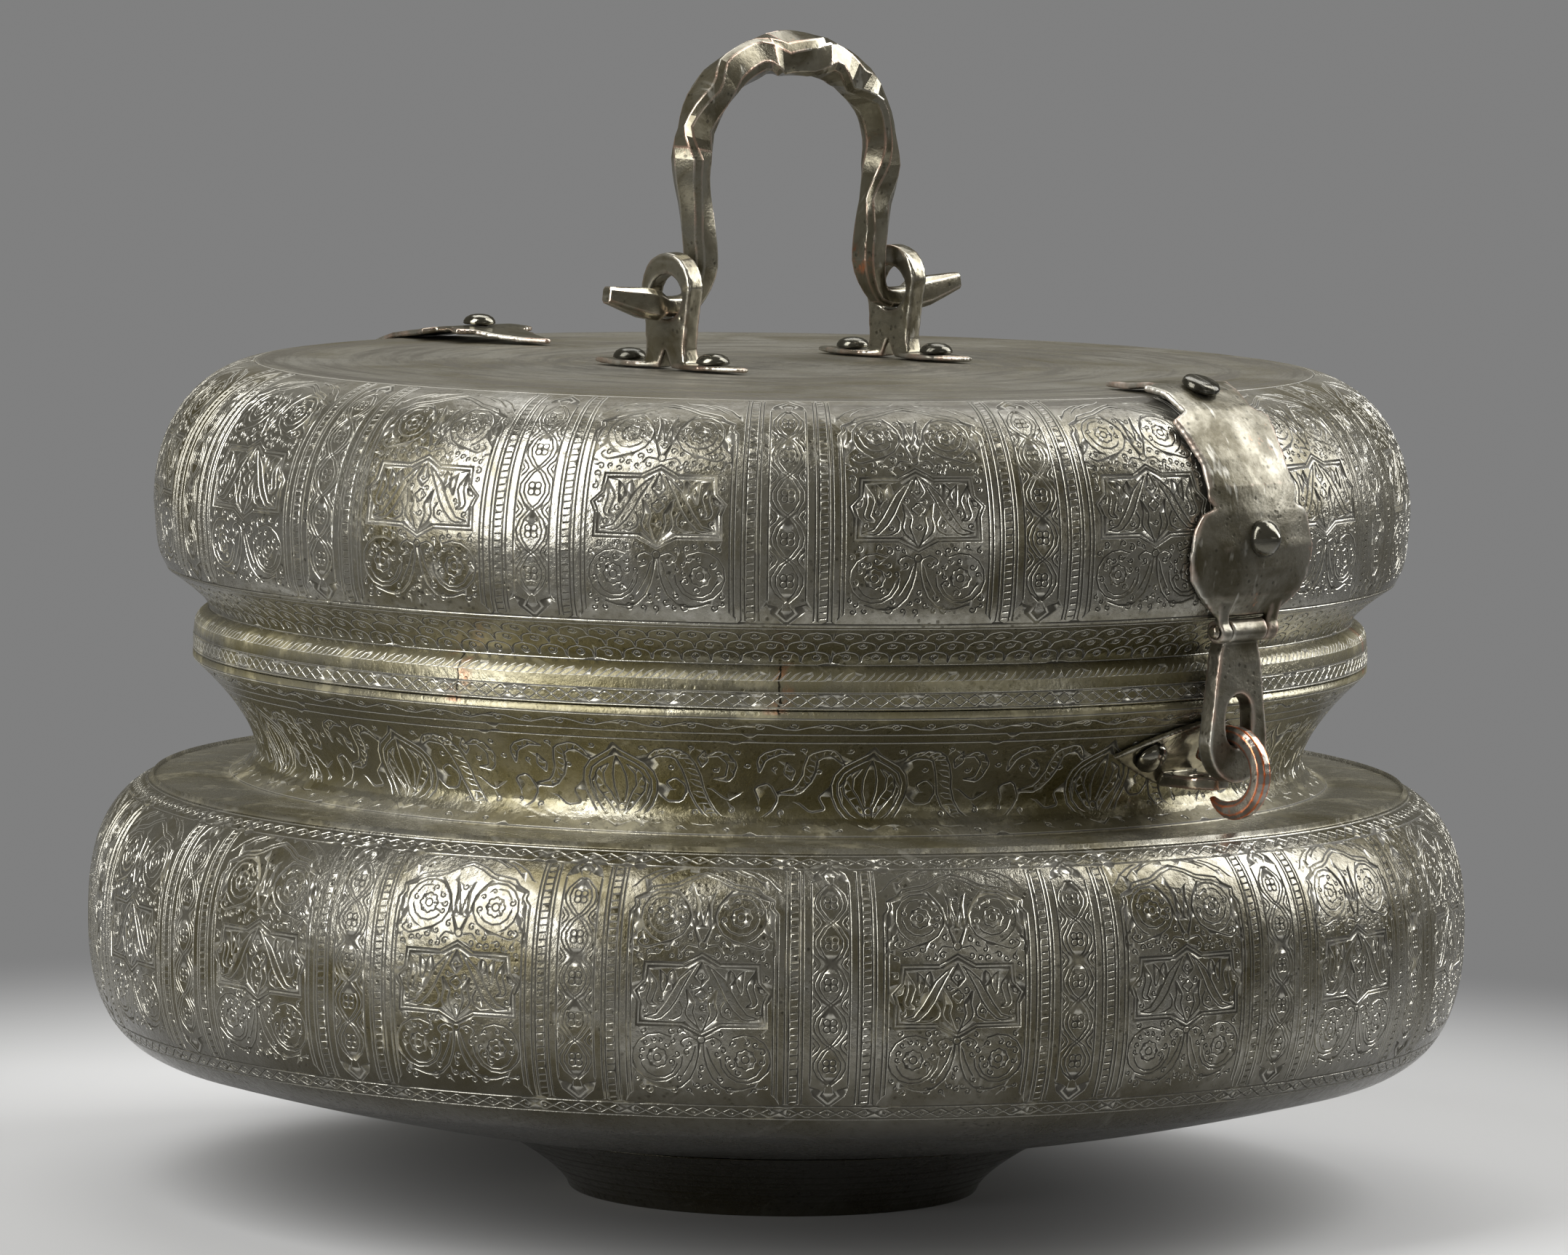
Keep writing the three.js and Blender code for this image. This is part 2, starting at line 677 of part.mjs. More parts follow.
// The hinge strap hangs past the lid's cove and ends in two outer knuckles
const strapHalf = hingeLength / 2;
const strapFace = lidPath.at(4).point.x + seatGap;
const strapBottom = hingeAxis.y + hingeBarrel + 2 * sideGap;
const strapShape = polygon([
  [strapFace, strapBottom],
  [strapFace + hingeStrapSheet, strapBottom],
  [strapFace + hingeStrapSheet, cornerZ + 4],
  [strapFace, cornerZ + 4],
]);
const strapLegShape = polygon([
  [strapFace, hingeAxis.y],
  [strapFace + hingeStrapSheet, hingeAxis.y],
  [strapFace + hingeStrapSheet, strapBottom + 2],
  [strapFace, strapBottom + 2],
]);
let hingeStrap = solidOf(wallPlate(lidPath, hingeStrapRows, plateSheet, 1, hingeBulge));
hingeStrap = hingeStrap.add(solidOf(prism(strapShape, 2 * strapHalf, yAxis, zAxis)));
[-1, 1].forEach((side) => {
  const x = side * (strapHalf - hingeLegWidth / 2);
  const knuckle = onHinge(rod(hingeBarrel, hingeLegWidth, xAxis), x);
  const leg = solidOf(prism(strapLegShape, hingeLegWidth, yAxis, zAxis).translate(x, 0, 0));
  hingeStrap = hingeStrap.add(knuckle).add(leg);
});
hingeStrap = hingeStrap.subtract(hingeBore);
hingeStrapSpots.forEach((spot) => {
  hingeStrap = drill(hingeStrap, spot);
});

// Bail eye: a pierced stem split at its foot into two pointed leaves, each held by a rivet
const eyeFloor = seatGap;
const leafTop = eyeFloor + plateSheet;
const stem = new THREE.Shape();
const eyeTurn = Math.asin(stemTop / (eyeOuter / 2));
stem.absarc(0, eyeHeight, eyeOuter / 2, -Math.PI / 2 + eyeTurn, 1.5 * Math.PI - eyeTurn, false);
stem.lineTo(-stemFoot, eyeFloor);
stem.lineTo(-splitWidth / 2, eyeFloor);
stem.lineTo(0, eyeFloor + splitHeight);
stem.lineTo(splitWidth / 2, eyeFloor);
stem.lineTo(stemFoot, eyeFloor);
stem.holes.push(circleShape(0, eyeHeight - eyeDrop, eyeHole / 2));

function leafFoot(side) {
  const leaf = new THREE.Shape();
  const start = side * (splitWidth / 2 + 0.4);
  leaf.moveTo(-eyeThickness / 2, start);
  leaf.quadraticCurveTo(-0.75 * leafWidth, side * leafRivetReach, 0, side * leafReach);
  leaf.quadraticCurveTo(0.75 * leafWidth, side * leafRivetReach, eyeThickness / 2, start);
  return solidOf(prism(leaf, plateSheet, xAxis, yAxis).translate(0, 0, eyeFloor + plateSheet / 2));
}

const eyeSpots = [-1, 1].map((side) => ({
  point: new THREE.Vector3(0, side * leafRivetReach, 0),
  normal: zAxis,
}));
let eye = solidOf(prism(stem, eyeThickness, yAxis, zAxis)).add(leafFoot(-1)).add(leafFoot(1));
eyeSpots.forEach((spot) => {
  eye = drill(eye, spot);
});

let lid = solidOf(turned(lidOutline));
[...haspPlateSpots, ...hingeStrapSpots].forEach((spot) => {
  lid = drill(lid, spot);
});

const lidGroup = new THREE.Group();
[["left", -1], ["right", 1]].forEach(([word, side]) => {
  const eyeGroup = new THREE.Group();
  eyeGroup.position.set((side * eyeSpacing) / 2, 0, lidTop);
  eyeGroup.add(piece(`bail_eye_${word}`, geometryOf(eye), forged));
  eyeSpots.forEach((spot, i) => {
    const name = `bail_eye_${word}_rivet_${i + 1}`;
    eyeGroup.add(rivet(name, spot, plateSheet, plainHead, plainHeadHeight, domeHead));
    const placed = { point: spot.point.clone().add(eyeGroup.position), normal: spot.normal };
    lid = drill(lid, placed);
  });
  lidGroup.add(eyeGroup);
});

const haspPinMesh = hingePin("hasp_pin", haspPinRadius, haspPinLength);
haspPinMesh.position.set(0, -haspPin.x, haspPin.y);
lidGroup.add(
  piece("lid", geometryOf(lid), tinned),
  piece("hasp_plate", geometryOf(haspPlate), forged),
  rivet("hasp_plate_stud", haspPlateSpots[0], haspStudSheet, studHead, studHeadHeight, pointedHead),
  rivet("hasp_plate_rivet", haspPlateSpots[1], haspRivetSheet, broadHead, broadHeadHeight, flatHead),
  haspPinMesh,
  piece("hinge_lid_strap", geometryOf(hingeStrap), forged),
  rivet("hinge_strap_rivet_1", hingeStrapSpots[0], plateSheet, plainHead, plainHeadHeight, domeHead),
  rivet("hinge_strap_rivet_2", hingeStrapSpots[1], hingeRivetSheet, plainHead, plainHeadHeight, domeHead),
);

// Bail handle, drawn about its own swing axis; its ends lie low in the eyes
const bailDrop = (eyeHole / 2) - bailEndHalf * Math.hypot(1, 0.5) - 2 * seatGap + 0.15;
const eyeHalf = eyeSpacing / 2;
const bailHalfCurve = [
  [eyeHalf + eyeThickness / 2 + bailTipReach, bailTipRise],
  [eyeHalf + eyeThickness / 2 + 0.55 * bailTipReach, 0.5 * bailTipRise],
  [eyeHalf + eyeThickness / 2 + 1.5, 0],
  [eyeHalf - eyeThickness / 2 - 1.5, 0],
  [bailNeckSpread + 2.4, 2.2],
  [bailNeckSpread, bailNeckRise],
  [0.3 * bailLegSpread + 0.7 * bailNeckSpread, 0.32 * bailRise],
  [bailLegSpread, 0.52 * bailRise],
  [0.97 * bailLegSpread, 0.67 * bailRise],
  [0.87 * bailLegSpread, 0.8 * bailRise],
  [0.64 * bailLegSpread, 0.91 * bailRise],
  [0.33 * bailLegSpread, 0.98 * bailRise],
];
const bailCurve = new THREE.CatmullRomCurve3([
  ...bailHalfCurve.map(([x, z]) => new THREE.Vector3(-x, 0, z)),
  new THREE.Vector3(0, 0, bailRise),
  ...bailHalfCurve.map(([x, z]) => new THREE.Vector3(x, 0, z)).reverse(),
]);
const bailLength = bailCurve.getLength();
const bailKnots = [0.075, 0.165];

function bailHalf(t) {
  const fromTip = Math.min(t, 1 - t) * bailLength;
  const wedge = bailTipReach - 1.5;
  if (fromTip < wedge) {
    const f = fromTip / wedge;
    return [bailTipHalf + (bailWedgeHalf - bailTipHalf) * f, bailTipHalf + (bailEndHalf - bailTipHalf) * f];
  }
  const ending = bailTipReach + eyeThickness + 3;
  if (fromTip < ending) return [bailEndHalf, bailEndHalf];
  const f = Math.min(1, (fromTip - ending) / 12);
  const arch = Math.max(0, 1 - Math.abs(t - 0.5) / 0.2);
  const knot = bailKnots.reduce((sum, k) => sum + Math.exp(-(((Math.abs(t - 0.5) - k) / 0.011) ** 2)), 0);
  const leg = bailEndHalf + (bailLegHalf - bailEndHalf) * f;
  const half = leg + (bailTopHalf - bailLegHalf) * Math.sqrt(arch) + 0.5 * knot;
  return [half, half];
}

const bailGroup = new THREE.Group();
bailGroup.position.set(0, 0, lidTop + eyeHeight - eyeDrop - bailDrop);
bailGroup.add(piece("bail_handle", forgedBar(bailCurve, yAxis, 52, bailHalf), forged));
lidGroup.add(bailGroup);

// Hasp, drawn about its pin: a strap that widens down to a round slotted end
const haspBack = haspPin.x - haspRadius;
const endZ = -haspLength + haspEndRadius;
const haspShape = new THREE.Shape();
haspShape.moveTo(haspBarrelLength / 2, 0);
haspShape.lineTo(-haspBarrelLength / 2, 0);
haspShape.lineTo(-haspBarrelLength / 2, -haspBarrel - sideGap);
haspShape.lineTo(-haspTopHalf, -haspBarrel - 3);
haspShape.lineTo(-haspEndRadius, endZ);
haspShape.absarc(0, endZ, haspEndRadius, Math.PI, 2 * Math.PI, false);
haspShape.lineTo(haspTopHalf, -haspBarrel - 3);
haspShape.lineTo(haspBarrelLength / 2, -haspBarrel - sideGap);
const slot = new THREE.Path();
const slotBottom = -haspLength + slotLip + slotWidth / 2;
slot.absarc(0, slotBottom + slotHeight - slotWidth, slotWidth / 2, 0, Math.PI, false);
slot.absarc(0, slotBottom, slotWidth / 2, Math.PI, 2 * Math.PI, false);
haspShape.holes.push(slot);
const haspBlade = solidOf(prism(haspShape, haspThickness, xAxis, zAxis).translate(0, haspBack, 0));
const haspKnuckle = solidOf(rod(haspBarrel, haspBarrelLength, xAxis));
const haspRelief = solidOf(
  new THREE.BoxGeometry(2 * haspPinLength, 2 * haspThickness, 2 * haspBarrel)
    .translate(0, haspThickness + haspBarrel, 0),
);
const haspSolid = haspBlade.subtract(haspRelief).add(haspKnuckle).subtract(solidOf(haspBoreRod));

const haspGroup = new THREE.Group();
haspGroup.position.set(0, -haspPin.x, haspPin.y);
haspGroup.add(piece("hasp", geometryOf(haspSolid), forged));
lidGroup.add(haspGroup);

// Open ring through the hasp's slot, drawn about its own centre, with a drawn-out tail
const ringPoints = [];
const ringSweep = 360 - ringTail + ringEnd;
for (let i = 0; i <= 18; i += 1) {
  const angle = THREE.MathUtils.degToRad(ringEnd - (ringSweep * i) / 18);
  ringPoints.push(new THREE.Vector3(0, -ringMean * Math.cos(angle), ringMean * Math.sin(angle)));
}
const ringCurve = new THREE.CatmullRomCurve3(ringPoints);

function ringHalf(t) {
  const taper = Math.min(1, 0.22 + (1 - t) / 0.2);
  return [(taper * ringBar) / 2, (Math.min(1, taper + 0.15) * ringWidth) / 2];
}

const ringGroup = new THREE.Group();
ringGroup.position.set(0, haspBack, ringZ - haspPin.y);
ringGroup.add(piece("hasp_ring", forgedBar(ringCurve, xAxis, 24, ringHalf), bareCopper));
haspGroup.add(ringGroup);

const liddedBowl = new THREE.Group();
liddedBowl.add(bowlGroup, lidGroup);

export default liddedBowl;
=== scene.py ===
# Engraved copper bowl with its lid, bail, hasp and hinge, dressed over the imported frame
import math
import random

import bmesh
import bpy
import numpy as np
from mathutils import Matrix, Vector, kdtree, noise
from mathutils.geometry import delaunay_2d_cdt


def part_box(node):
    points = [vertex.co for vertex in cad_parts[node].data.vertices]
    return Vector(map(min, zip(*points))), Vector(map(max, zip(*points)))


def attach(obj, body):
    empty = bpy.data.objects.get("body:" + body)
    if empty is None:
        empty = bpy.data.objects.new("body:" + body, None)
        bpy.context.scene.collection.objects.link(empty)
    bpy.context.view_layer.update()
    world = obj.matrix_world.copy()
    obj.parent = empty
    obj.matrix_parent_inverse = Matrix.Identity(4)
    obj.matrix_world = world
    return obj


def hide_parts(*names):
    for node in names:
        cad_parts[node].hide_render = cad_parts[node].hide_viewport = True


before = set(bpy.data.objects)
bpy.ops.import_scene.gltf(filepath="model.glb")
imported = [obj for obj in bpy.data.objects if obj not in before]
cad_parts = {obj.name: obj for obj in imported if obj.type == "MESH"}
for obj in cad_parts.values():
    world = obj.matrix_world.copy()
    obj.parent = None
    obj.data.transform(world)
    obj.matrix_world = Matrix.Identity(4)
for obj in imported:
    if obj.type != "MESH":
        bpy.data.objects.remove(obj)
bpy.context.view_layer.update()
scene = bpy.context.scene
mm = 0.001
print("frame loaded:", len(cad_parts), "nodes")


# Node trees

def addNode(tree, kind, sockets=None, **settings):
    made = tree.nodes.new(kind)
    for name, value in settings.items():
        setattr(made, name, value)
    for name, value in (sockets or {}).items():
        if isinstance(value, bpy.types.NodeSocket):
            tree.links.new(value, made.inputs[name])
        else:
            made.inputs[name].default_value = value
    return made


def newGroup(name, kind, inputs, outputs):
    tree = bpy.data.node_groups.new(name, kind)
    for side, sockets in (("INPUT", inputs), ("OUTPUT", outputs)):
        for label, socketType, value in sockets:
            made = tree.interface.new_socket(label, in_out=side, socket_type=socketType)
            if value is not None:
                made.default_value = value
    return tree, tree.nodes.new("NodeGroupInput").outputs, tree.nodes.new("NodeGroupOutput").inputs


def geometryTree(name, inputs):
    shape = [("Geometry", "NodeSocketGeometry", None)]
    return newGroup(name, "GeometryNodeTree", shape + inputs, shape)


def endTree(tree, shape, given, out):
    done = addNode(tree, "GeometryNodeSetMaterial", {"Geometry": shape, "Material": given["Material"]})
    tree.links.new(done.outputs[0], out["Geometry"])
    return tree


def mathNode(tree, operation, a, b=None, clamp=False):
    sockets = {0: a} if b is None else {0: a, 1: b}
    return addNode(tree, "ShaderNodeMath", sockets, operation=operation, use_clamp=clamp).outputs[0]


def mixColor(tree, factor, a, b):
    made = addNode(tree, "ShaderNodeMix", {0: factor, 6: a, 7: b}, data_type="RGBA")
    return made.outputs[2]


def ramp(tree, value, low, high):
    span = {"Value": value, "From Min": low, "From Max": high}
    made = addNode(tree, "ShaderNodeMapRange", span, clamp=True, interpolation_type="SMOOTHSTEP")
    return made.outputs["Result"]


def times(tree, a, b):
    return mathNode(tree, "MULTIPLY", a, b)


def vectorNode(tree, operation, a, b=None, scale=None):
    sockets = {name: value for name, value in ((0, a), (1, b), ("Scale", scale)) if value is not None}
    made = addNode(tree, "ShaderNodeVectorMath", sockets, operation=operation)
    return made.outputs["Value" if operation == "LENGTH" else "Vector"]


# start plus each mask times its amount
def summed(tree, start, parts, clamp=True):
    for mask, amount in parts:
        start = mathNode(tree, "ADD", start, times(tree, mask, amount), clamp)
    return start


def cloud(tree, place, scale, detail, roughness=0.5, distortion=0.0):
    made = addNode(tree, "ShaderNodeTexNoise", {
        "Vector": place, "Scale": scale, "Detail": detail, "Roughness": roughness, "Distortion": distortion,
    })
    return made.outputs["Fac"]


def named(tree, name, kind="FLOAT"):
    return addNode(tree, "GeometryNodeInputNamedAttribute", {"Name": name}, data_type=kind).outputs[0]


def floats(*names):
    return [(name, "NodeSocketFloat", None) for name in names]


def grey(value):
    return (value, value, value, 1.0)


# Old metal: blotches, fine grain and hair scratches that every finish shares
def makeTarnish():
    tree, given, out = newGroup(
        "Tarnish", "ShaderNodeTree",
        [
            ("Vector", "NodeSocketVector", None),
            ("Blotch Scale", "NodeSocketFloat", 24.0),
            ("Grain Scale", "NodeSocketFloat", 420.0),
            ("Scratch Scale", "NodeSocketFloat", 150.0),
        ],
        floats("Blotch", "Grain", "Scratch", "Deposit", "Pits"),
    )
    place = given["Vector"]
    blotch = cloud(tree, place, given["Blotch Scale"], 6.0, 0.62, 0.6)
    grain = cloud(tree, place, given["Grain Scale"], 4.0, 0.7)
    crust = cloud(tree, place, times(tree, given["Blotch Scale"], 3.1), 5.0, 0.72)
    pitScale = times(tree, given["Grain Scale"], 1.1)
    pit = addNode(tree, "ShaderNodeTexVoronoi", {"Vector": place, "Scale": pitScale})
    few = times(tree, ramp(tree, pit.outputs["Distance"], 0.34, 0.12), ramp(tree, crust, 0.42, 0.6))
    # two sets of stretched noise, crossed, give scratches that run every way
    lines = []
    for turn, stretch in ((0.5, 0.05), (2.1, 0.07)):
        aim = addNode(tree, "ShaderNodeMapping", {
            "Vector": place, "Rotation": (0.2, 0.3, turn), "Scale": (1.0, stretch, 0.35),
        })
        lines.append(ramp(tree, cloud(tree, aim.outputs[0], given["Scratch Scale"], 3.0, 0.8), 0.62, 0.7))
    for name, mask in (
        ("Blotch", ramp(tree, blotch, 0.32, 0.7)), ("Grain", ramp(tree, grain, 0.3, 0.72)),
        ("Scratch", mathNode(tree, "MAXIMUM", *lines)),
        ("Deposit", ramp(tree, crust, 0.5, 0.68)), ("Pits", few),
    ):
        tree.links.new(mask, out[name])
    return tree


# Bare copper where the tin has gone: on sharp edges and in small worn patches
def makeCopperWear():
    tree, given, out = newGroup(
        "Copper wear", "ShaderNodeTree",
        [
            ("Vector", "NodeSocketVector", None),
            ("Edge", "NodeSocketFloat", 0.0),
            ("Patch Scale", "NodeSocketFloat", 30.0),
            ("Patches", "NodeSocketFloat", 0.3),
        ],
        floats("Mask"),
    )
    patch = cloud(tree, given["Vector"], given["Patch Scale"], 5.0, 0.68)
    fleck = cloud(tree, given["Vector"], 260.0, 3.0, 0.7)
    level = mathNode(tree, "SUBTRACT", 0.86, times(tree, given["Patches"], 0.4))
    spots = ramp(tree, mathNode(tree, "DIVIDE", patch, level), 0.92, 1.05)
    spots = times(tree, spots, ramp(tree, fleck, 0.42, 0.6))
    rub = times(tree, given["Edge"], ramp(tree, patch, 0.42, 0.66))
    tree.links.new(mathNode(tree, "MAXIMUM", spots, rub, clamp=True), out["Mask"])
    return tree


# Places on the vessel, in metres: rim cracks with a copper blush, turned top, olive neck whose cuts get more
# painted highlight, painted shade darkening the underside
vesselPlaces = {
    "cracks": (-166.8, -135.5, -55.5), "width": 0.00022, "jag": 0.0022,
    "blush": 0.005, "rimLow": (0.1329, 0.1335), "rimHigh": (0.1455, 0.1443),
    "neckLow": (0.104, 0.11), "neckHigh": (0.158, 0.148), "top": (0.199, 0.206),
    # low: the heights over which the vessel is darkened towards the bottom, painted shade
    "low": (0.064, 0.044), "streak": 1.7, "turnings": 170.0,
}


def makeBodyZones(work):
    tree, given, out = newGroup(
        "Vessel places", "ShaderNodeTree", [("Vector", "NodeSocketVector", None)],
        floats("Crack", "Blush", "Turned", "Top", "Shaded Underside", "Neck"),
    )
    place = given["Vector"]
    axes = addNode(tree, "ShaderNodeSeparateXYZ", {0: place}).outputs
    angle = mathNode(tree, "ARCTAN2", axes["Y"], axes["X"])
    flat = addNode(tree, "ShaderNodeCombineXYZ", {"X": axes["X"], "Y": axes["Y"]}).outputs[0]
    radius = vectorNode(tree, "LENGTH", flat)
    rimLow, rimHigh, neckLow, neckHigh, top, low = (
        ramp(tree, axes["Z"], *work[name])
        for name in ("rimLow", "rimHigh", "neckLow", "neckHigh", "top", "low")
    )
    rim = times(tree, rimLow, rimHigh)
    jag = times(tree, mathNode(tree, "SUBTRACT", cloud(tree, place, 420.0, 3.0), 0.5), work["jag"])
    crack, blush = 0.0, 0.0
    for turn in work["cracks"]:
        gap = times(tree, mathNode(tree, "SUBTRACT", angle, math.radians(turn)), radius)
        gap = mathNode(tree, "ABSOLUTE", mathNode(tree, "ADD", gap, jag))
        crack = mathNode(tree, "MAXIMUM", ramp(tree, gap, work["width"] * 1.6, work["width"] * 0.7), crack)
        blush = mathNode(tree, "MAXIMUM", ramp(tree, gap, work["blush"], 0.0), blush)
    stain = ramp(tree, cloud(tree, place, 230.0, 4.0), 0.42, 0.66)
    # streaks of the lathe run round the lid's top
    heading = vectorNode(tree, "SCALE", vectorNode(tree, "NORMALIZE", flat), scale=work["streak"])
    depth = addNode(tree, "ShaderNodeCombineXYZ", {"Z": times(tree, radius, work["turnings"])}).outputs[0]
    marks = ramp(tree, cloud(tree, vectorNode(tree, "ADD", heading, depth), 1.0, 6.0, 0.72), 0.4, 0.62)
    for name, mask in (
        ("Crack", times(tree, crack, rim)), ("Blush", times(tree, times(tree, blush, rim), stain)),
        ("Turned", times(tree, marks, top)), ("Top", top), ("Shaded Underside", low),
        ("Neck", times(tree, neckLow, neckHigh)),
    ):
        tree.links.new(mask, out[name])
    return tree


tarnish = makeTarnish()
copperWear = makeCopperWear()
bodyZones = makeBodyZones(vesselPlaces)


def newMaterial(name):
    made = bpy.data.materials.new(name)
    made.use_nodes = True
    made.node_tree.nodes.clear()
    return made, made.node_tree


# One maker for the metals; look gives the colours and how worn the piece is
def metal(name, look):
    made, tree = newMaterial(name)
    place = addNode(tree, "ShaderNodeTexCoord").outputs["Object"]
    cut, edge, crustAndSheen = (
        addNode(tree, "ShaderNodeAttribute", attribute_name=label).outputs["Fac"]
        for label in ("cut", "edge", "crustAndSheen")
    )

    def placed(group, *values):
        sockets = {"Vector": place, **{label: look[label] for label in values}}
        return addNode(tree, "ShaderNodeGroup", sockets, node_tree=group)

    old = placed(tarnish, "Blotch Scale", "Grain Scale", "Scratch Scale").outputs
    wear = placed(copperWear, "Patch Scale", "Patches")
    tree.links.new(times(tree, edge, look["rubbed"]), wear.inputs["Edge"])
    bare = mathNode(tree, "MAXIMUM", wear.outputs["Mask"], times(tree, edge, look["bare"]))
    # pale crust colour: a real cream crust in the lid's collar and cove, and painted highlight where it
    # stands for the sheen on the bowl's shoulder, neck base and rim flare
    veil = mathNode(tree, "ADD", times(tree, old["Deposit"], 0.75), 0.32)
    crustAndSheenMask = times(tree, crustAndSheen, veil)
    dirt = times(tree, ramp(tree, cut, 0.18, 0.55), look["dirt"])
    layers = [
        (old["Scratch"], look["scratched"], "bright"), (old["Grain"], look["grain"], "dark"),
        (old["Pits"], 0.7, "soil"), (edge, look["polished"], "bright"),
        (crustAndSheenMask, 1.0, "crust"), (bare, 1.0, "copper"),
    ]
    # painted highlight: the lips of every cut take the bright colour as a glint, and the cuts on the shaded
    # neck take more of it
    lipGlint, dulled, shed = look["lip"], [], []
    if look["zones"]:
        spots = placed(bodyZones).outputs
        # the underside mask lays the soil colour on the lower belly as painted shade
        layers += [
            (spots["Top"], 0.5, "film"), (spots["Turned"], 0.9, "film"), (spots["Shaded Underside"], 0.75, "soil"),
            (spots["Neck"], 0.4, "olive"), (spots["Blush"], 0.6, "copper"), (spots["Crack"], 1.0, "soil"),
        ]
        lipGlint = mathNode(tree, "ADD", lipGlint, times(tree, spots["Neck"], 0.4))
        dulled, shed = [(spots["Top"], 0.12), (spots["Turned"], 0.22)], [(spots["Top"], -0.6)]
    # painted highlight laid on the lips of the cuts
    layers.append((ramp(tree, cut, 0.0, 0.1), lipGlint, "bright"))
    body = mixColor(tree, old["Blotch"], look["dark"], look["pale"])
    for mask, amount, color in layers:
        body = mixColor(tree, times(tree, mask, amount), body, look[color])
    filling = mixColor(tree, times(tree, old["Deposit"], look["cream"]), look["soil"], look["crust"])
    body = mixColor(tree, dirt, body, filling)
    rough = summed(tree, look["roughness"], [
        (old["Grain"], 0.34 * look["grain"]), (old["Blotch"], -0.08), (dirt, 0.35), (crustAndSheenMask, 0.25), *dulled,
    ])
    # patina is duller than the metal that shows between it
    metallic = summed(tree, look["metallic"] - look["patina"], [
        (old["Blotch"], look["patina"]), (dirt, -0.5), (crustAndSheenMask, -0.8), *shed,
    ])
    height = summed(tree, 0.0, [
        (old["Grain"], 0.5), (old["Scratch"], -0.35), (old["Pits"], -0.5),
    ], clamp=False)
    bump = addNode(tree, "ShaderNodeBump", {"Strength": look["bump"], "Distance": 0.0002, "Height": height})
    shader = addNode(tree, "ShaderNodeBsdfPrincipled", {
        "Base Color": body, "Roughness": rough, "Metallic": metallic, "Normal": bump.outputs[0],
    })
    tree.links.new(shader.outputs[0], addNode(tree, "ShaderNodeOutputMaterial").inputs[0])
    return made


# in these looks, lip is the strength of the painted highlight laid on the lips of the cuts
tinLook = {
    "dark": (0.072, 0.06, 0.026, 1), "pale": (0.435, 0.423, 0.378, 1), "bright": (0.66, 0.645, 0.58, 1),
    "copper": (0.50, 0.19, 0.09, 1), "soil": (0.03, 0.026, 0.016, 1), "crust": (0.34, 0.31, 0.21, 1),
    "film": (0.045, 0.039, 0.026, 1), "olive": (0.17, 0.145, 0.05, 1),
    "Blotch Scale": 22.0, "Grain Scale": 480.0, "Scratch Scale": 150.0, "Patch Scale": 16.0, "Patches": 0.22,
    "scratched": 0.35, "grain": 0.35, "dirt": 0.92, "cream": 0.5, "lip": 0.4, "rubbed": 0.5, "polished": 0.5,
    "bare": 0.0, "roughness": 0.215, "metallic": 0.97, "patina": 0.32, "bump": 0.62, "zones": True,
}
forgedLook = {
    **tinLook, "dark": (0.075, 0.063, 0.035, 1), "pale": (0.32, 0.3, 0.235, 1),
    "Blotch Scale": 60.0, "Patch Scale": 55.0, "Patches": 0.4, "scratched": 0.4,
    "grain": 0.1, "polished": 0.4, "roughness": 0.21, "bump": 0.22, "zones": False,
}
rivetLook = {
    **forgedLook, "dark": (0.03, 0.028, 0.02, 1), "pale": (0.2, 0.19, 0.155, 1),
    "Patches": 0.0, "polished": 0.3, "roughness": 0.16,
}
ringLook = {
    **forgedLook, "dark": (0.17, 0.152, 0.125, 1), "pale": (0.42, 0.4, 0.36, 1),
    "copper": (0.6, 0.16, 0.05, 1), "Patches": 0.62, "rubbed": 2.2,
    "polished": 0.0, "bare": 2.4, "roughness": 0.24,
}
haspLook = {
    **forgedLook, "dark": (0.05, 0.041, 0.018, 1), "pale": (0.25, 0.237, 0.195, 1),
    "grain": 0.3, "polished": 0.6, "roughness": 0.36, "bump": 0.4,
}
tinned = metal("tarnished tin on copper", tinLook)
haspMetal = metal("dark forged copper", haspLook)
forged = metal("forged and tarnished copper", forgedLook)
darkRivet = metal("dark riveted copper", rivetLook)
wornRing = metal("worn copper ring", ringLook)
print("metals ready")


# Turned walls: a path of radius and height gives a place and an outward direction at any distance

class WallPath:
    def __init__(self, points):
        self.points = points
        self.along = [0.0]
        for a, b in zip(points, points[1:]):
            self.along.append(self.along[-1] + math.dist(a, b))
        self.outward = []
        for i in range(len(points)):
            (r0, z0), (r1, z1) = points[max(0, i - 1)], points[min(len(points) - 1, i + 1)]
            length = math.hypot(r1 - r0, z1 - z0)
            self.outward.append(((z1 - z0) / length, (r0 - r1) / length))
        self.length = self.along[-1]

    def at(self, s):
        low, high = 0, len(self.along) - 2
        while low < high:
            middle = (low + high + 1) // 2
            if self.along[middle] <= s:
                low = middle
            else:
                high = middle - 1
        f = (s - self.along[low]) / (self.along[low + 1] - self.along[low])
        place = [a + (b - a) * f for a, b in zip(self.points[low], self.points[low + 1])]
        out = [a + (b - a) * f for a, b in zip(self.outward[low], self.outward[low + 1])]
        return (*place, *out)

    def alongAt(self, z):
        for i, (r, height) in enumerate(self.points):
            if height >= z:
                return self.along[i]
        return self.length


def smoothLine(points, step=0.25):
    spots = [Vector(p) for p in points]
    spots = [2 * spots[0] - spots[1], *spots, 2 * spots[-1] - spots[-2]]
    made = []
    for a, b, c, d in zip(spots, spots[1:], spots[2:], spots[3:]):
        count = max(2, int((c - b).length / step))
        for i in range(count):
            t = i / count
            made.append(0.5 * (
                2 * b + (c - a) * t + (2 * a - 5 * b + 4 * c - d) * t * t + (3 * b - a - 3 * c + d) * t ** 3
            ))
    made.append(spots[-2])
    return [tuple(p) for p in made]


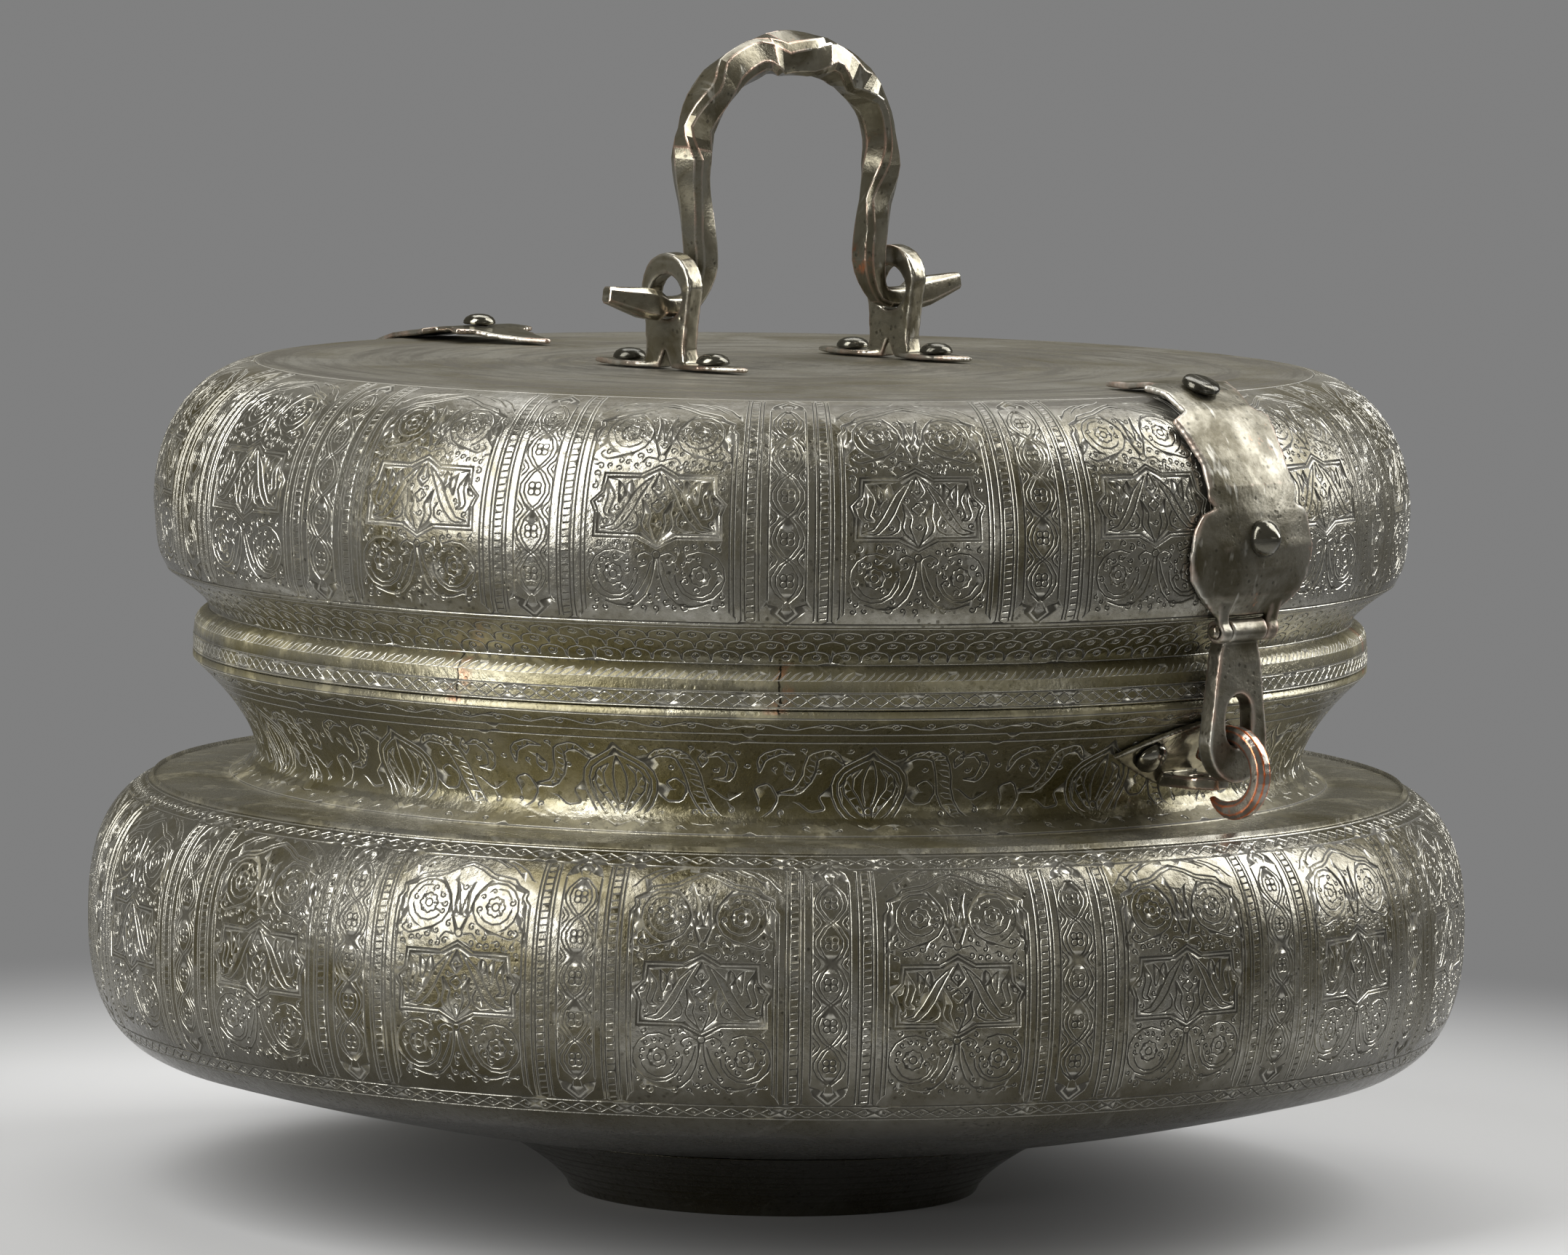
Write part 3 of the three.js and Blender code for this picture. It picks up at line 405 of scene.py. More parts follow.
def superArc(radius, z, width, height, power, start, end, count):
    made = []
    for i in range(count + 1):
        angle = math.radians(start + (end - start) * i / count)
        reach = math.cos(angle) ** (2 / power) if math.cos(angle) > 1e-9 else 0.0
        rise = math.copysign(abs(math.sin(angle)) ** (2 / power), angle)
        made.append((radius - width + width * reach, z + height * rise))
    return made


def smoothMesh(mesh):
    mesh.polygons.foreach_set("use_smooth", [True] * len(mesh.polygons))
    mesh.update()


def spun(points, steps, phase=0.0):
    made = bmesh.new()
    rows = []
    for r, z in points:
        if r < 1e-6:
            rows.append([made.verts.new((0, 0, z * mm))] * steps)
            continue
        rows.append([
            made.verts.new((r * mm * math.cos(phase + 2 * math.pi * j / steps),
                            r * mm * math.sin(phase + 2 * math.pi * j / steps), z * mm))
            for j in range(steps)
        ])
    for low, high in zip(rows, rows[1:]):
        for j in range(steps):
            k = (j + 1) % steps
            corners = []
            for v in (low[j], low[k], high[k], high[j]):
                if v not in corners:
                    corners.append(v)
            if len(corners) > 2:
                made.faces.new(corners)
    mesh = bpy.data.meshes.new("spun")
    made.to_mesh(mesh)
    made.free()
    smoothMesh(mesh)
    return mesh


# Engraving: strokes drawn flat, in mm, are cut as V grooves into one sector of a turned wall
strokeRules = {
    "nearest": 0.28, "bend": 0.26, "sample": 0.22, "lipRoom": 0.12, "groundRoom": 0.9, "border": 0.2,
    "carved": 0.07, "waveSteps": 24,
}


class Drawing:
    def __init__(self):
        self.strokes = []

    def line(self, points, half=0.3, deep=1.0, every=2.8):
        kept = [points[0]]
        for i in range(1, len(points) - 1):
            a, p, q = kept[-1], points[i], points[i + 1]
            reach = math.dist(a, p)
            if reach < strokeRules["nearest"]:
                continue
            ahead, behind = math.atan2(q[1] - p[1], q[0] - p[0]), math.atan2(p[1] - a[1], p[0] - a[0])
            if abs(math.remainder(ahead - behind, 2 * math.pi)) > strokeRules["bend"] or reach > every:
                kept.append(p)
        kept.append(points[-1])
        self.strokes.append((kept, half, deep))

    def curve(self, points, half=0.3):
        self.line(smoothLine(points), half)

    def straight(self, a, b, half=0.3, deep=1.0, every=3.2):
        count = max(1, round(math.dist(a, b) / every))
        points = [
            (a[0] + (b[0] - a[0]) * i / count, a[1] + (b[1] - a[1]) * i / count) for i in range(count + 1)
        ]
        self.line(points, half, deep, 0.85 * every)

    def ring(self, x, y, radius, half=0.28, lobes=0, lobe=0.0, start=0.0, sweep=360.0, grow=0.0):
        count = max(12, int(radius * sweep / 30))
        points = []
        for i in range(count + 1):
            angle = math.radians(start + sweep * i / count)
            r = radius * (1 + lobe * math.cos(lobes * angle)) + grow * i / count
            points.append((x + r * math.cos(angle), y + r * math.sin(angle)))
        self.line(points, half)

    def curl(self, x, y, size, aim, hand):
        points = []
        for i in range(15):
            f = i / 14
            angle = aim + hand * math.radians(330) * f
            r = size * (0.3 + 0.7 * f)
            points.append((x + r * math.cos(angle), y + r * math.sin(angle)))
        self.line(points, 0.27)

    def leaf(self, a, b, bulge, ribs=0):
        ax, bx = Vector(a), Vector(b)
        side = Vector((a[1] - b[1], b[0] - a[0])).normalized()
        for hand in (-1, 1):
            self.curve([a, tuple(ax.lerp(bx, 0.45) + side * bulge * hand), b], 0.28)
        for i in range(ribs):
            root = ax.lerp(bx, 0.2 + 0.6 * i / max(1, ribs - 1))
            self.line([tuple(root), tuple(root + side * bulge * 0.5 + (bx - ax) * 0.1)], 0.2, 0.7)

    # long leaf on a curved spine, hatched on one side
    def blade(self, spine, width, ribs=0, half=0.3):
        line = smoothLine(spine, step=0.5)
        last = len(line) - 1
        sides = ([], [])
        for i, p in enumerate(line):
            a, b = line[max(0, i - 1)], line[min(last, i + 1)]
            length = math.dist(a, b) or 1.0
            swell = 0.5 * width * math.sin(math.pi * i / last) ** 0.7
            for side, hand in zip(sides, (1, -1)):
                side.append((p[0] - hand * swell * (b[1] - a[1]) / length,
                             p[1] + hand * swell * (b[0] - a[0]) / length))
        for side in sides:
            self.line(side, half)
        for i in range(ribs):
            k = int(last * (0.14 + 0.7 * i / max(1, ribs - 1)))
            root, tip = line[k], sides[0][min(last, k + max(1, last // 24))]
            end = (root[0] + 0.75 * (tip[0] - root[0]), root[1] + 0.75 * (tip[1] - root[1]))
            self.line([root, end], 0.22, 0.8)

    def mirrored(self, draw):
        first = len(self.strokes)
        draw()
        for points, half, deep in self.strokes[first:]:
            self.strokes.append(([(-x, y) for x, y in points], half, deep))

    def moved(self, other, x, y, tall=1.0):
        for points, half, deep in other.strokes:
            self.strokes.append(([(px + x, py * tall + y) for px, py in points], half, deep))

    # comma curls wherever the ground is still bare
    def fillCurls(self, box, count, clear, seed):
        pick = random.Random(seed)
        samples = [p for points, half, deep in self.strokes for p in dense(points)]
        for tries in range(count * 40):
            x, y = pick.uniform(box[0], box[2]), pick.uniform(box[1], box[3])
            if any(abs(x - px) < clear and math.hypot(x - px, y - py) < clear for px, py in samples):
                continue
            before = len(self.strokes)
            self.curl(x, y, pick.uniform(0.65, 0.95), pick.uniform(0, 6.28), pick.choice((-1, 1)))
            samples += [p for points, half, deep in self.strokes[before:] for p in dense(points)]
            count -= 1
            if count == 0:
                break


def dense(points):
    made = [points[0]]
    for a, b in zip(points, points[1:]):
        count = max(1, int(math.dist(a, b) / strokeRules["sample"]))
        for i in range(1, count + 1):
            made.append((a[0] + (b[0] - a[0]) * i / count, a[1] + (b[1] - a[1]) * i / count))
    return made


def engraved(drawing, left, right, height, ground, divisions):
    samples = []
    for points, half, deep in drawing.strokes:
        samples += [(p, half, deep) for p in dense(points)]
    near = kdtree.KDTree(len(samples))
    for i, (p, half, deep) in enumerate(samples):
        near.insert((p[0], p[1], 0), i)
    near.balance()

    def cutAt(x, y):
        place, i, gap = near.find((x, y, 0))
        return max(0.0, 1 - gap / samples[i][1]) * samples[i][2], gap / samples[i][1], gap

    spots, edges, taken = [], [], {}
    lipRoom, groundRoom, border = strokeRules["lipRoom"], strokeRules["groundRoom"], strokeRules["border"]

    def crowded(x, y, room):
        i, j = int(x // room), int(y // room)
        cells = ((i + a, j + b, room) for a in (-1, 0, 1) for b in (-1, 0, 1))
        return any(math.dist(p, (x, y)) < room for cell in cells for p in taken.get(cell, ()))

    def put(x, y):
        spots.append((x, y))
        for room in (lipRoom, groundRoom):
            taken.setdefault((int(x // room), int(y // room), room), []).append((x, y))
        return len(spots) - 1

    # the sector's two sides carry the same heights, so that neighbours close up
    heights = {0.0, height}
    for points, half, deep in drawing.strokes:
        if abs(points[0][0] - left) < 1e-6:
            heights.update((points[0][1] - half, points[0][1], points[0][1] + half))
    for i in range(1, int(height / ground)):
        y = height * i / int(height / ground)
        if all(abs(y - h) > 0.5 * ground for h in heights):
            heights.add(y)
    heights = sorted(h for h in heights if 0 <= h <= height)
    sides = {}
    for x in (left, right):
        for y in heights:
            sides[x, y] = put(x, y)
        edges += [(sides[x, a], sides[x, b]) for a, b in zip(heights, heights[1:])]
    for y in (0.0, height):
        row = [sides[left, y]]
        row += [put(left + (right - left) * i / divisions, y) for i in range(1, divisions)]
        row.append(sides[right, y])
        edges += list(zip(row, row[1:]))
    lips = []
    for points, half, deep in drawing.strokes:
        last, pair = None, ([], [])
        for i, (x, y) in enumerate(points):
            here = sides[x, y] if (x, y) in sides else put(x, y)
            if last is not None and last != here:
                edges.append((last, here))
            last = here
            a, b = points[max(0, i - 1)], points[min(len(points) - 1, i + 1)]
            length = math.dist(a, b) or 1.0
            for lip, hand in zip(pair, (half, -half)):
                lip.append((x + hand * (a[1] - b[1]) / length, y + hand * (b[0] - a[0]) / length))
        lips += pair
    # both lips of each cut are edges too, broken where they run into another cut
    for lip in lips:
        last = None
        for x, y in lip:
            inside = left + border < x < right - border and border < y < height - border
            if not inside or cutAt(x, y)[1] < 0.9:
                last = None
            elif not crowded(x, y, lipRoom):
                here = put(x, y)
                if last is not None:
                    edges.append((last, here))
                last = here
    across, up = int((right - left) / ground), int(height / ground)
    for i in range(1, across):
        for j in range(1, up):
            x = left + (right - left) * (i + 0.25 * (-1) ** j) / across
            y = height * j / up
            if cutAt(x, y)[2] > groundRoom and not crowded(x, y, groundRoom):
                put(x, y)
    flat, made, faces = delaunay_2d_cdt([Vector(p) for p in spots], edges, [], 0, 1e-5)[:3]
    cuts = [cutAt(p.x, p.y)[0] for p in flat]
    return [(p.x, p.y, c) for p, c in zip(flat, cuts)], [tuple(f) for f in faces]


# 0 to 1 and back over four marks
def between(value, marks):
    a, b, c, d = marks
    return max(0.0, min(1.0, (value - a) / (b - a), (d - value) / (d - c)))


def setValues(mesh, name, values, domain="POINT"):
    mesh.attributes.new(name, "FLOAT", domain).data.foreach_set("value", values)


def sectorMesh(name, tile, path, radius, phase, depth, crustAndSheen):
    spots, faces = tile
    places = []
    for u, v, cut in spots:
        r, z, outR, outZ = path.at(v)
        r -= depth * cut * outR
        z -= depth * cut * outZ
        angle = phase + u / radius
        places.append((r * mm * math.cos(angle), r * mm * math.sin(angle), z * mm))
    mesh = bpy.data.meshes.new(name)
    mesh.from_pydata(places, [], faces)
    carved = [float(any(spots[i][2] > strokeRules["carved"] for i in face)) for face in faces]
    pale = [
        max([strength * between(v, marks) for strength, marks in crustAndSheen], default=0.0) for u, v, c in spots
    ]
    setValues(mesh, "carved", carved, "FACE")
    setValues(mesh, "cut", [c for u, v, c in spots])
    setValues(mesh, "crustAndSheen", pale)
    return mesh


weld = 0.000012  # points nearer than this are one


# Geometry Nodes: one sector repeated round the axis, then bent a little, as a hammered sheet is
def makeRoundTree():
    tree, given, out = geometryTree("Sectors round the axis", [
        ("Plain", "NodeSocketObject", None),
        ("Repeats", "NodeSocketInt", 16),
        ("Waver", "NodeSocketFloat", 0.0002),
        ("Waver Scale", "NodeSocketFloat", 40.0),
        ("Seed", "NodeSocketFloat", 1.0),
        ("Material", "NodeSocketMaterial", None),
    ])
    points = addNode(tree, "GeometryNodePoints", {"Count": given["Repeats"]})
    index = addNode(tree, "GeometryNodeInputIndex").outputs[0]
    turn = mathNode(tree, "DIVIDE", times(tree, index, 2 * math.pi), given["Repeats"])
    rotation = addNode(tree, "ShaderNodeCombineXYZ", {"Z": turn})
    copies = addNode(tree, "GeometryNodeInstanceOnPoints", {
        "Points": points.outputs[0], "Instance": given["Geometry"], "Rotation": rotation.outputs[0],
    })
    real = addNode(tree, "GeometryNodeRealizeInstances", {"Geometry": copies.outputs[0]})
    plain = addNode(tree, "GeometryNodeObjectInfo", {"Object": given["Plain"]})
    both = addNode(tree, "GeometryNodeJoinGeometry", {"Geometry": real.outputs[0]})
    tree.links.new(plain.outputs["Geometry"], both.inputs[0])
    closed = addNode(tree, "GeometryNodeMergeByDistance", {"Geometry": both.outputs[0], "Distance": weld})
    wave = addNode(tree, "ShaderNodeTexNoise", {
        "W": given["Seed"], "Scale": given["Waver Scale"], "Detail": 1.0,
    }, noise_dimensions="4D")
    centred = vectorNode(tree, "SUBTRACT", wave.outputs["Color"], (0.5, 0.5, 0.5))
    offset = vectorNode(tree, "SCALE", centred, scale=given["Waver"])
    bent = addNode(tree, "GeometryNodeSetPosition", {"Geometry": closed.outputs[0], "Offset": offset})
    # smooth ground and smooth cuts, with a crisp lip where they meet
    soft = addNode(tree, "GeometryNodeSetShadeSmooth", {"Geometry": bent.outputs[0]}, domain="FACE")
    half = mathNode(tree, "ABSOLUTE", mathNode(tree, "SUBTRACT", named(tree, "carved"), 0.5))
    lip = mathNode(tree, "LESS_THAN", half, 0.25)
    crisp = addNode(tree, "GeometryNodeSetShadeSmooth", {
        "Geometry": soft.outputs[0], "Selection": lip, "Shade Smooth": False,
    }, domain="EDGE")
    return endTree(tree, crisp.outputs[0], given, out)


roundTree = makeRoundTree()


# the modifiers' result becomes the piece's own mesh
def settle(piece):
    bpy.context.view_layer.update()
    plain = bpy.data.meshes.new_from_object(piece.evaluated_get(bpy.context.evaluated_depsgraph_get()))
    piece.modifiers.clear()
    piece.data = plain
    return plain


def grown(name, mesh, tree, values):
    made = bpy.data.objects.new(name, mesh)
    scene.collection.objects.link(made)
    modifier = made.modifiers.new("grow", "NODES")
    modifier.node_group = tree
    for item in tree.interface.items_tree:
        if item.in_out == "INPUT" and item.name in values:
            modifier[item.identifier] = values[item.name]
    made.update_tag()
    settle(made).name = name
    return made


def plainTurned(name, meshes):
    made = bmesh.new()
    for mesh in meshes:
        made.from_mesh(mesh)
    bmesh.ops.remove_doubles(made, verts=made.verts, dist=weld)
    base = bpy.data.meshes.new(name)
    made.to_mesh(base)
    made.free()
    return bpy.data.objects.new(name, base)


def dress(piece, body, nodes):
    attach(piece, body)
    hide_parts(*nodes)
    print("dressed", piece.name, len(piece.data.polygons), "faces")
    return piece


# Ornament of the wide panels: arch, two pairs of roundels, leaf sprays and a knotted cartouche
panelWork = {
    "half": 18.2, "archFoot": 46.0, "archTop": 57.4, "rosette": 2.3, "roundel": 5.9, "eye": 0.95,
    "topX": 8.9, "topY": 45.6, "lowX": 10.3, "lowY": 10.8, "cartoucheLow": 19.4, "cartoucheHigh": 34.6,
    "curls": 150, "clear": 1.2, "seed": 7,
}


def drawPanel(work):
    art = Drawing()
    half, foot, top = work["half"], work["archFoot"], work["archTop"]
    low, high = work["cartoucheLow"], work["cartoucheHigh"]
    middle = (low + high) / 2

    def halfPanel():
        for step in (0.0, 1.0):
            edge = half - step
            art.straight((-edge, 1.2 + step), (-edge, foot))
            art.curve([
                (-edge, foot), (-edge + 1.2, foot + 1.6), (-edge + 1.0, foot + 3.4),
                (-edge + 3.4, foot + 4.6), (-edge + 5.4, foot + 6.6 - step),
                (-edge * 0.42, top - 3.4 - step), (-edge * 0.22, top - 1.4 - step), (0, top - step),
            ])
        for i in range(3):
            art.curve([
                (-half + 0.6 + 3.6 * i, foot + 6.5 + 1.5 * i), (-half + 3.2 + 3.6 * i, foot + 9.4 + 0.8 * i),
                (-half + 7.4 + 3.6 * i, foot + 11.4 + 0.4 * i),
            ], 0.28)
        # upper roundel with its rosette and the tendril that leaves it
        x, y = -work["topX"], work["topY"]
        art.ring(x, y, work["roundel"], 0.3, start=-70, sweep=318)
        for stem in (
            ((2.0, -5.5), (-1.5, -6.6), (-4.6, -7.4), (-6.4, -6.2), (-5.6, -5.2)),
            ((-5.6, -1.4), (-6.6, -4.0), (-8.0, -5.6), (-8.2, -7.4), (-7.2, -7.8)),
        ):
            art.curve([(x + a, y + b) for a, b in stem])
        art.ring(x, y, work["rosette"], 0.28, 8, 0.09)
        art.ring(x, y, work["eye"], 0.26)
        art.ring(x, y, 4.2, 0.3, start=190, sweep=130)
        art.curve([(x - 3.6, y + 2.4), (x - 2.4, y + 4.0), (x - 0.4, y + 4.4)], 0.26)
        # split leaves between the roundels
        art.curve([(-0.5, high + 5.2), (-2.4, high + 9.4), (-3.6, high + 13.6), (-6.6, high + 17.2)], 0.34)
        art.curve([(-0.9, high + 5.0), (-2.0, high + 8.6), (-1.5, high + 12.6), (-2.3, high + 16.4)], 0.34)
        art.curve([(-2.3, high + 16.4), (-0.9, high + 13.0), (-0.2, high + 9.0)], 0.28)
        art.curve([(-1.2, high + 3.8), (-3.4, high + 4.2), (-4.6, high + 3.0)], 0.28)
        # half of the cartouche
        for step in (0.0, 0.85):
            art.line([
                (0, high + 2.4 - step), (-4.3, high - step), (-13.6 + step, high - step),
                (-13.9 + step, middle + 3), (-16.3 + step, middle + 0.6), (-15.1 + step, middle - 1.9),
                (-15.4 + step, low + step), (-4.6, low + step), (0, low - 2.4 + step),
            ], 0.25)
        # knotted leaf work inside it
        for spine, width, line in (
            ([
                (-13.4, low + 2.0), (-9.8, low + 2.6), (-6.6, middle - 0.6),
                (-4.6, middle + 3.2), (-1.4, high - 0.6),
            ], 2.0, 0.34),
            ([
                (-12.4, high - 2.0), (-11.2, middle + 1.8), (-12.2, middle - 1.6), (-10.4, low + 4.8),
            ], 1.7, 0.32),
            ([(-9.8, high - 1.8), (-8.8, middle + 3.4), (-9.2, middle + 0.4)], 1.5, 0.3),
            ([(-6.6, high - 1.6), (-7.2, middle + 4.2), (-6.4, middle + 2.0)], 1.2, 0.3),
            ([(-0.6, low - 0.4), (-2.8, low + 3.0), (-2.4, middle - 1.8), (-3.6, middle + 1.2)], 1.7, 0.34),
        ):
            art.blade(spine, width, 0, line)
        art.curve([(-6.6, low + 1.6), (-4.8, low + 2.6), (-4.4, middle - 3.0), (-5.2, middle - 1.6)], 0.32)
        art.curve([(0, middle + 2.2), (-1.6, middle + 4.0), (-1.2, high - 2.4), (0, high + 0.2)], 0.32)
        art.leaf((-14.6, middle + 0.4), (-13.0, middle + 2.2), 0.6)
        # lower roundel and its long stem
        x, y = -work["lowX"], work["lowY"]
        art.ring(x, y, work["roundel"], 0.3, start=60, sweep=300)
        art.ring(x, y, work["rosette"], 0.28, 8, 0.09)
        art.ring(x, y, work["eye"], 0.26)
        art.ring(x + 0.4, y - 0.6, 4.3, 0.28, start=200, sweep=150)
        art.curve([(-0.5, 14.6), (-0.9, 10.6), (-2.6, 6.2), (-5.6, 3.6), (-9.0, 3.4), (-12.2, 4.4)], 0.36)
        art.curve([(-1.4, 13.4), (-2.6, 9.8), (-4.2, 7.2)], 0.28)
        art.ring(-6.6, 3.2, 0.8, 0.24)
        art.curve([(-1.2, 15.6), (-3.0, 16.2), (-4.8, 15.0), (-4.2, 14.0)], 0.28)

    art.mirrored(halfPanel)
    art.ring(0, high + 4.2, work["eye"], 0.26)
    art.ring(0, 15.6, 0.9, 0.26)
    art.ring(0, middle, 1.3, 0.28, 4, 0.2)
    art.fillCurls((-half + 2.4, 2.6, half - 2.4, foot + 4), work["curls"], work["clear"], work["seed"])
    return art


# Narrow columns: a two-strand chain round flowers, between beaded fillets
columnWork = {
    "half": 4.5, "link": 10.0, "strand": 3.3, "band": 0.55,
    "petal": 1.1, "first": 10.0, "count": 5, "bead": 1.6,
}


def drawColumn(work):
    art = Drawing()
    half, link, strand = work["half"], work["link"], work["strand"]
    base, top = work["first"] - link / 2, work["first"] + link * (work["count"] - 0.5)

    def halfColumn():
        art.straight((half, base + 0.6), (half, top), 0.32)
        for hand in (-work["band"], work["band"]):
            points = []
            for i in range(int((top - base) / 0.4) + 1):
                y = base + 0.4 * i
                wave = math.cos(math.pi * (y - work["first"]) / link)
                points.append((strand * math.copysign(abs(wave) ** 0.8, wave) + hand, y))
            art.line(points, 0.28)
        # small pockets between the chain and the border
        for i in range(1, work["count"]):
            y = base + link * i
            pocket = ((0.5, -2.0), (1.6, -1.0), (2.1, 0), (1.6, 1.0), (0.5, 2.0))
            art.line([(half - a, y + b) for a, b in pocket], 0.28)
            art.line([(half - 0.6, y - 0.7), (half - 1.1, y), (half - 0.6, y + 0.7)], 0.24)
        # arrowhead ends
        for y, up in ((base, -1), (top, 1)):
            art.line([(half, y + 0.6 * up), (2.4, y + 1.2 * up), (3.6, y + 2.8 * up), (0, y + 6.0 * up)], 0.3)
            art.line([(1.2, y + 1.8 * up), (1.9, y + 2.8 * up), (0, y + 4.6 * up)], 0.26)

    art.mirrored(halfColumn)
    for i in range(work["count"]):
        y = work["first"] + link * i
        for turn in range(4):
            a = math.radians(45 + 90 * turn)
            art.ring(work["petal"] * math.cos(a), y + work["petal"] * math.sin(a), 0.8, 0.25)
    return art


def drawFillet(art, x, low, high, pitch):
    for edge in (-2.1, -1.2, 1.2, 2.1):
        art.straight((x + edge, low), (x + edge, high), 0.29)
    count = int((high - low - 1) / pitch)
    for i in range(count):
        y = low + 0.8 + i * (high - low - 1.6) / (count - 1)
        art.line([(x - 0.8, y - 0.1), (x + 0.8, y + 0.1)], 0.26, 0.9)


# twisted border of two strands, with a point in each eye
def drawRope(art, left, right, middle, swing, twists):
    width, steps = right - left, strokeRules["waveSteps"]
    for strand in (-1, 1):
        art.line([
            (left + width * i / (steps * twists), middle + strand * swing * math.sin(math.pi * i / steps))
            for i in range(steps * twists + 1)
        ], 0.28)
    for i in range(twists):
        art.ring(left + (right - left) * (i + 0.5) / twists, middle, 0.3, 0.24)


# the wall's offset line, for the inside of the sheet
def inset(points, outward, wall):
    return [(max(0, p - o * wall), q - n * wall) for (p, q), (o, n) in zip(points, outward)]


def ringPiece(name, tile, path, radius, phase, form, repeats=None, depth=None, plain=None, crustAndSheen=()):
    print(name, "sector:", len(tile[1]), "triangles")
    mesh = sectorMesh(name + " sector", tile, path, radius, phase, depth or form["grooveDepth"], crustAndSheen)
    return grown(name, mesh, roundTree, {
        "Plain": plain, "Repeats": repeats or form["sectors"], "Waver": form["waver"],
        "Waver Scale": form["waverScale"], "Seed": form["seed"], "Material": tinned,
    })


# Tiles side by side on a wall: panel in the middle of the sector, column at its right
def wallPieces(form, cut, path, radius, phase, panel, column):
    sector, half = 2 * math.pi * radius / form["sectors"], cut["panelHalf"]
    made = []
    for kind, left, right in (("panels", -half, half), ("columns", half, sector - half)):
        art = Drawing()
        if kind == "panels":
            art.moved(drawPanel(panel), 0, cut["lift"])
        else:
            art.moved(drawColumn(column), sector / 2, cut["lift"])
            for side in (-1, 1):
                drawFillet(art, sector / 2 + side * cut["fillet"], *cut["filletSpan"], column["bead"])
        for y in cut["lines"]:
            art.straight((left, y), (right, y), 0.3)
        for middle in cut["ropes"]:
            drawRope(art, left, right, middle, cut["ropeSwing"], cut["twists"][kind])
        tile = engraved(art, left, right, cut["height"], cut["ground"], cut["steps"][kind])
        made.append(ringPiece(form["name"] + "_" + kind, tile, path, radius, phase, form))
    return made


# Lid: band on the rim, collar, cove, engraved wall, rounded shoulder and flat top
lidForm = {
    "name": "lid", "rim": 146.0, "z": 134.3, "band": 4.5, "collar": 142.0, "collarRise": 10.7,
    "corner": 152.5, "cornerRise": 20.0, "radius": 156.0, "wallRise": 36.7,
    "shoulderWidth": 30.0, "shoulderHeight": 35.0, "power": 2.15, "wall": 1.6, "sectors": 16,
    "columnAngle": -90.0, "grooveDepth": 0.36, "waver": 0.0002, "waverScale": 36.0, "seed": 3.0,
}


def lidPaths(form):
    z, rim, collar, corner = form["z"], form["rim"], form["collar"], form["corner"]
    edge, cove = z + form["band"], z + form["collarRise"]
    cornerZ, wallTop = z + form["cornerRise"], z + form["wallRise"]
    skirt = [(rim, z), (rim, edge - 0.4), (rim - 0.4, edge)]
    # rounded collar between the band and the cove
    skirt += smoothLine([
        skirt[-1], (rim - 0.1, edge + 0.8), (rim - 0.3, edge + 2.1), (rim - 1.1, edge + 3.8),
        (collar + 1.3, edge + 5.1), (collar + 0.2, edge + 5.8), (collar, cove - 0.1),
    ])[1:]
    rise = form["cornerRise"] - form["collarRise"]
    skirt += [(collar + (corner - collar) * (i / 20) ** 1.35, cove + rise * (i / 20)) for i in range(21)]
    width, height = form["shoulderWidth"], form["shoulderHeight"]
    shoulder = superArc(form["radius"], wallTop, width, height, form["power"], 0, 90, 80)
    wall = smoothLine([
        (corner, cornerZ), ((corner + 2 * form["radius"]) / 3, (2 * cornerZ + wallTop) / 3), shoulder[0],
    ])
    top = [(form["radius"] - width - 2 - 4 * i, wallTop + height) for i in range(12)]
    return WallPath(skirt), WallPath(wall + shoulder[1:] + top)


skirtPath, domePath = lidPaths(lidForm)
lidSector = 2 * math.pi * lidForm["radius"] / lidForm["sectors"]
lidPhase = math.radians(lidForm["columnAngle"]) - (lidSector / 2) / lidForm["radius"]
lidCut = {
    "panelHalf": 19.0, "steps": {"panels": 10, "columns": 6}, "height": 66.0, "lift": 1.5,
    "lines": (0.7, 63.6), "ropes": (), "fillet": 8.6, "filletSpan": (1.6, 62.6), "ground": 2.3,
}
for piece in wallPieces(lidForm, lidCut, domePath, lidForm["radius"], lidPhase, panelWork, columnWork):
    dress(piece, "lid_side", ["lid"])

# Skirt of the lid: cross-hatched band, slanted strokes on the collar, rows of scale cells in the cove
skirtWork = {
    "lines": (0.5, 4.0), "hatch": (0.9, 3.6), "crosses": 15, "slants": 28,
    "cells": 8, "rows": 3, "rowRise": 4.0, "ground": 2.4, "depth": 0.26, "lip": 2.4,
    "topRings": 24, "crustAndSheen": ((0.9, (4.4, 5.4, 9.5, 12.5)), (0.35, (-1, 0, 3, 4))),
}


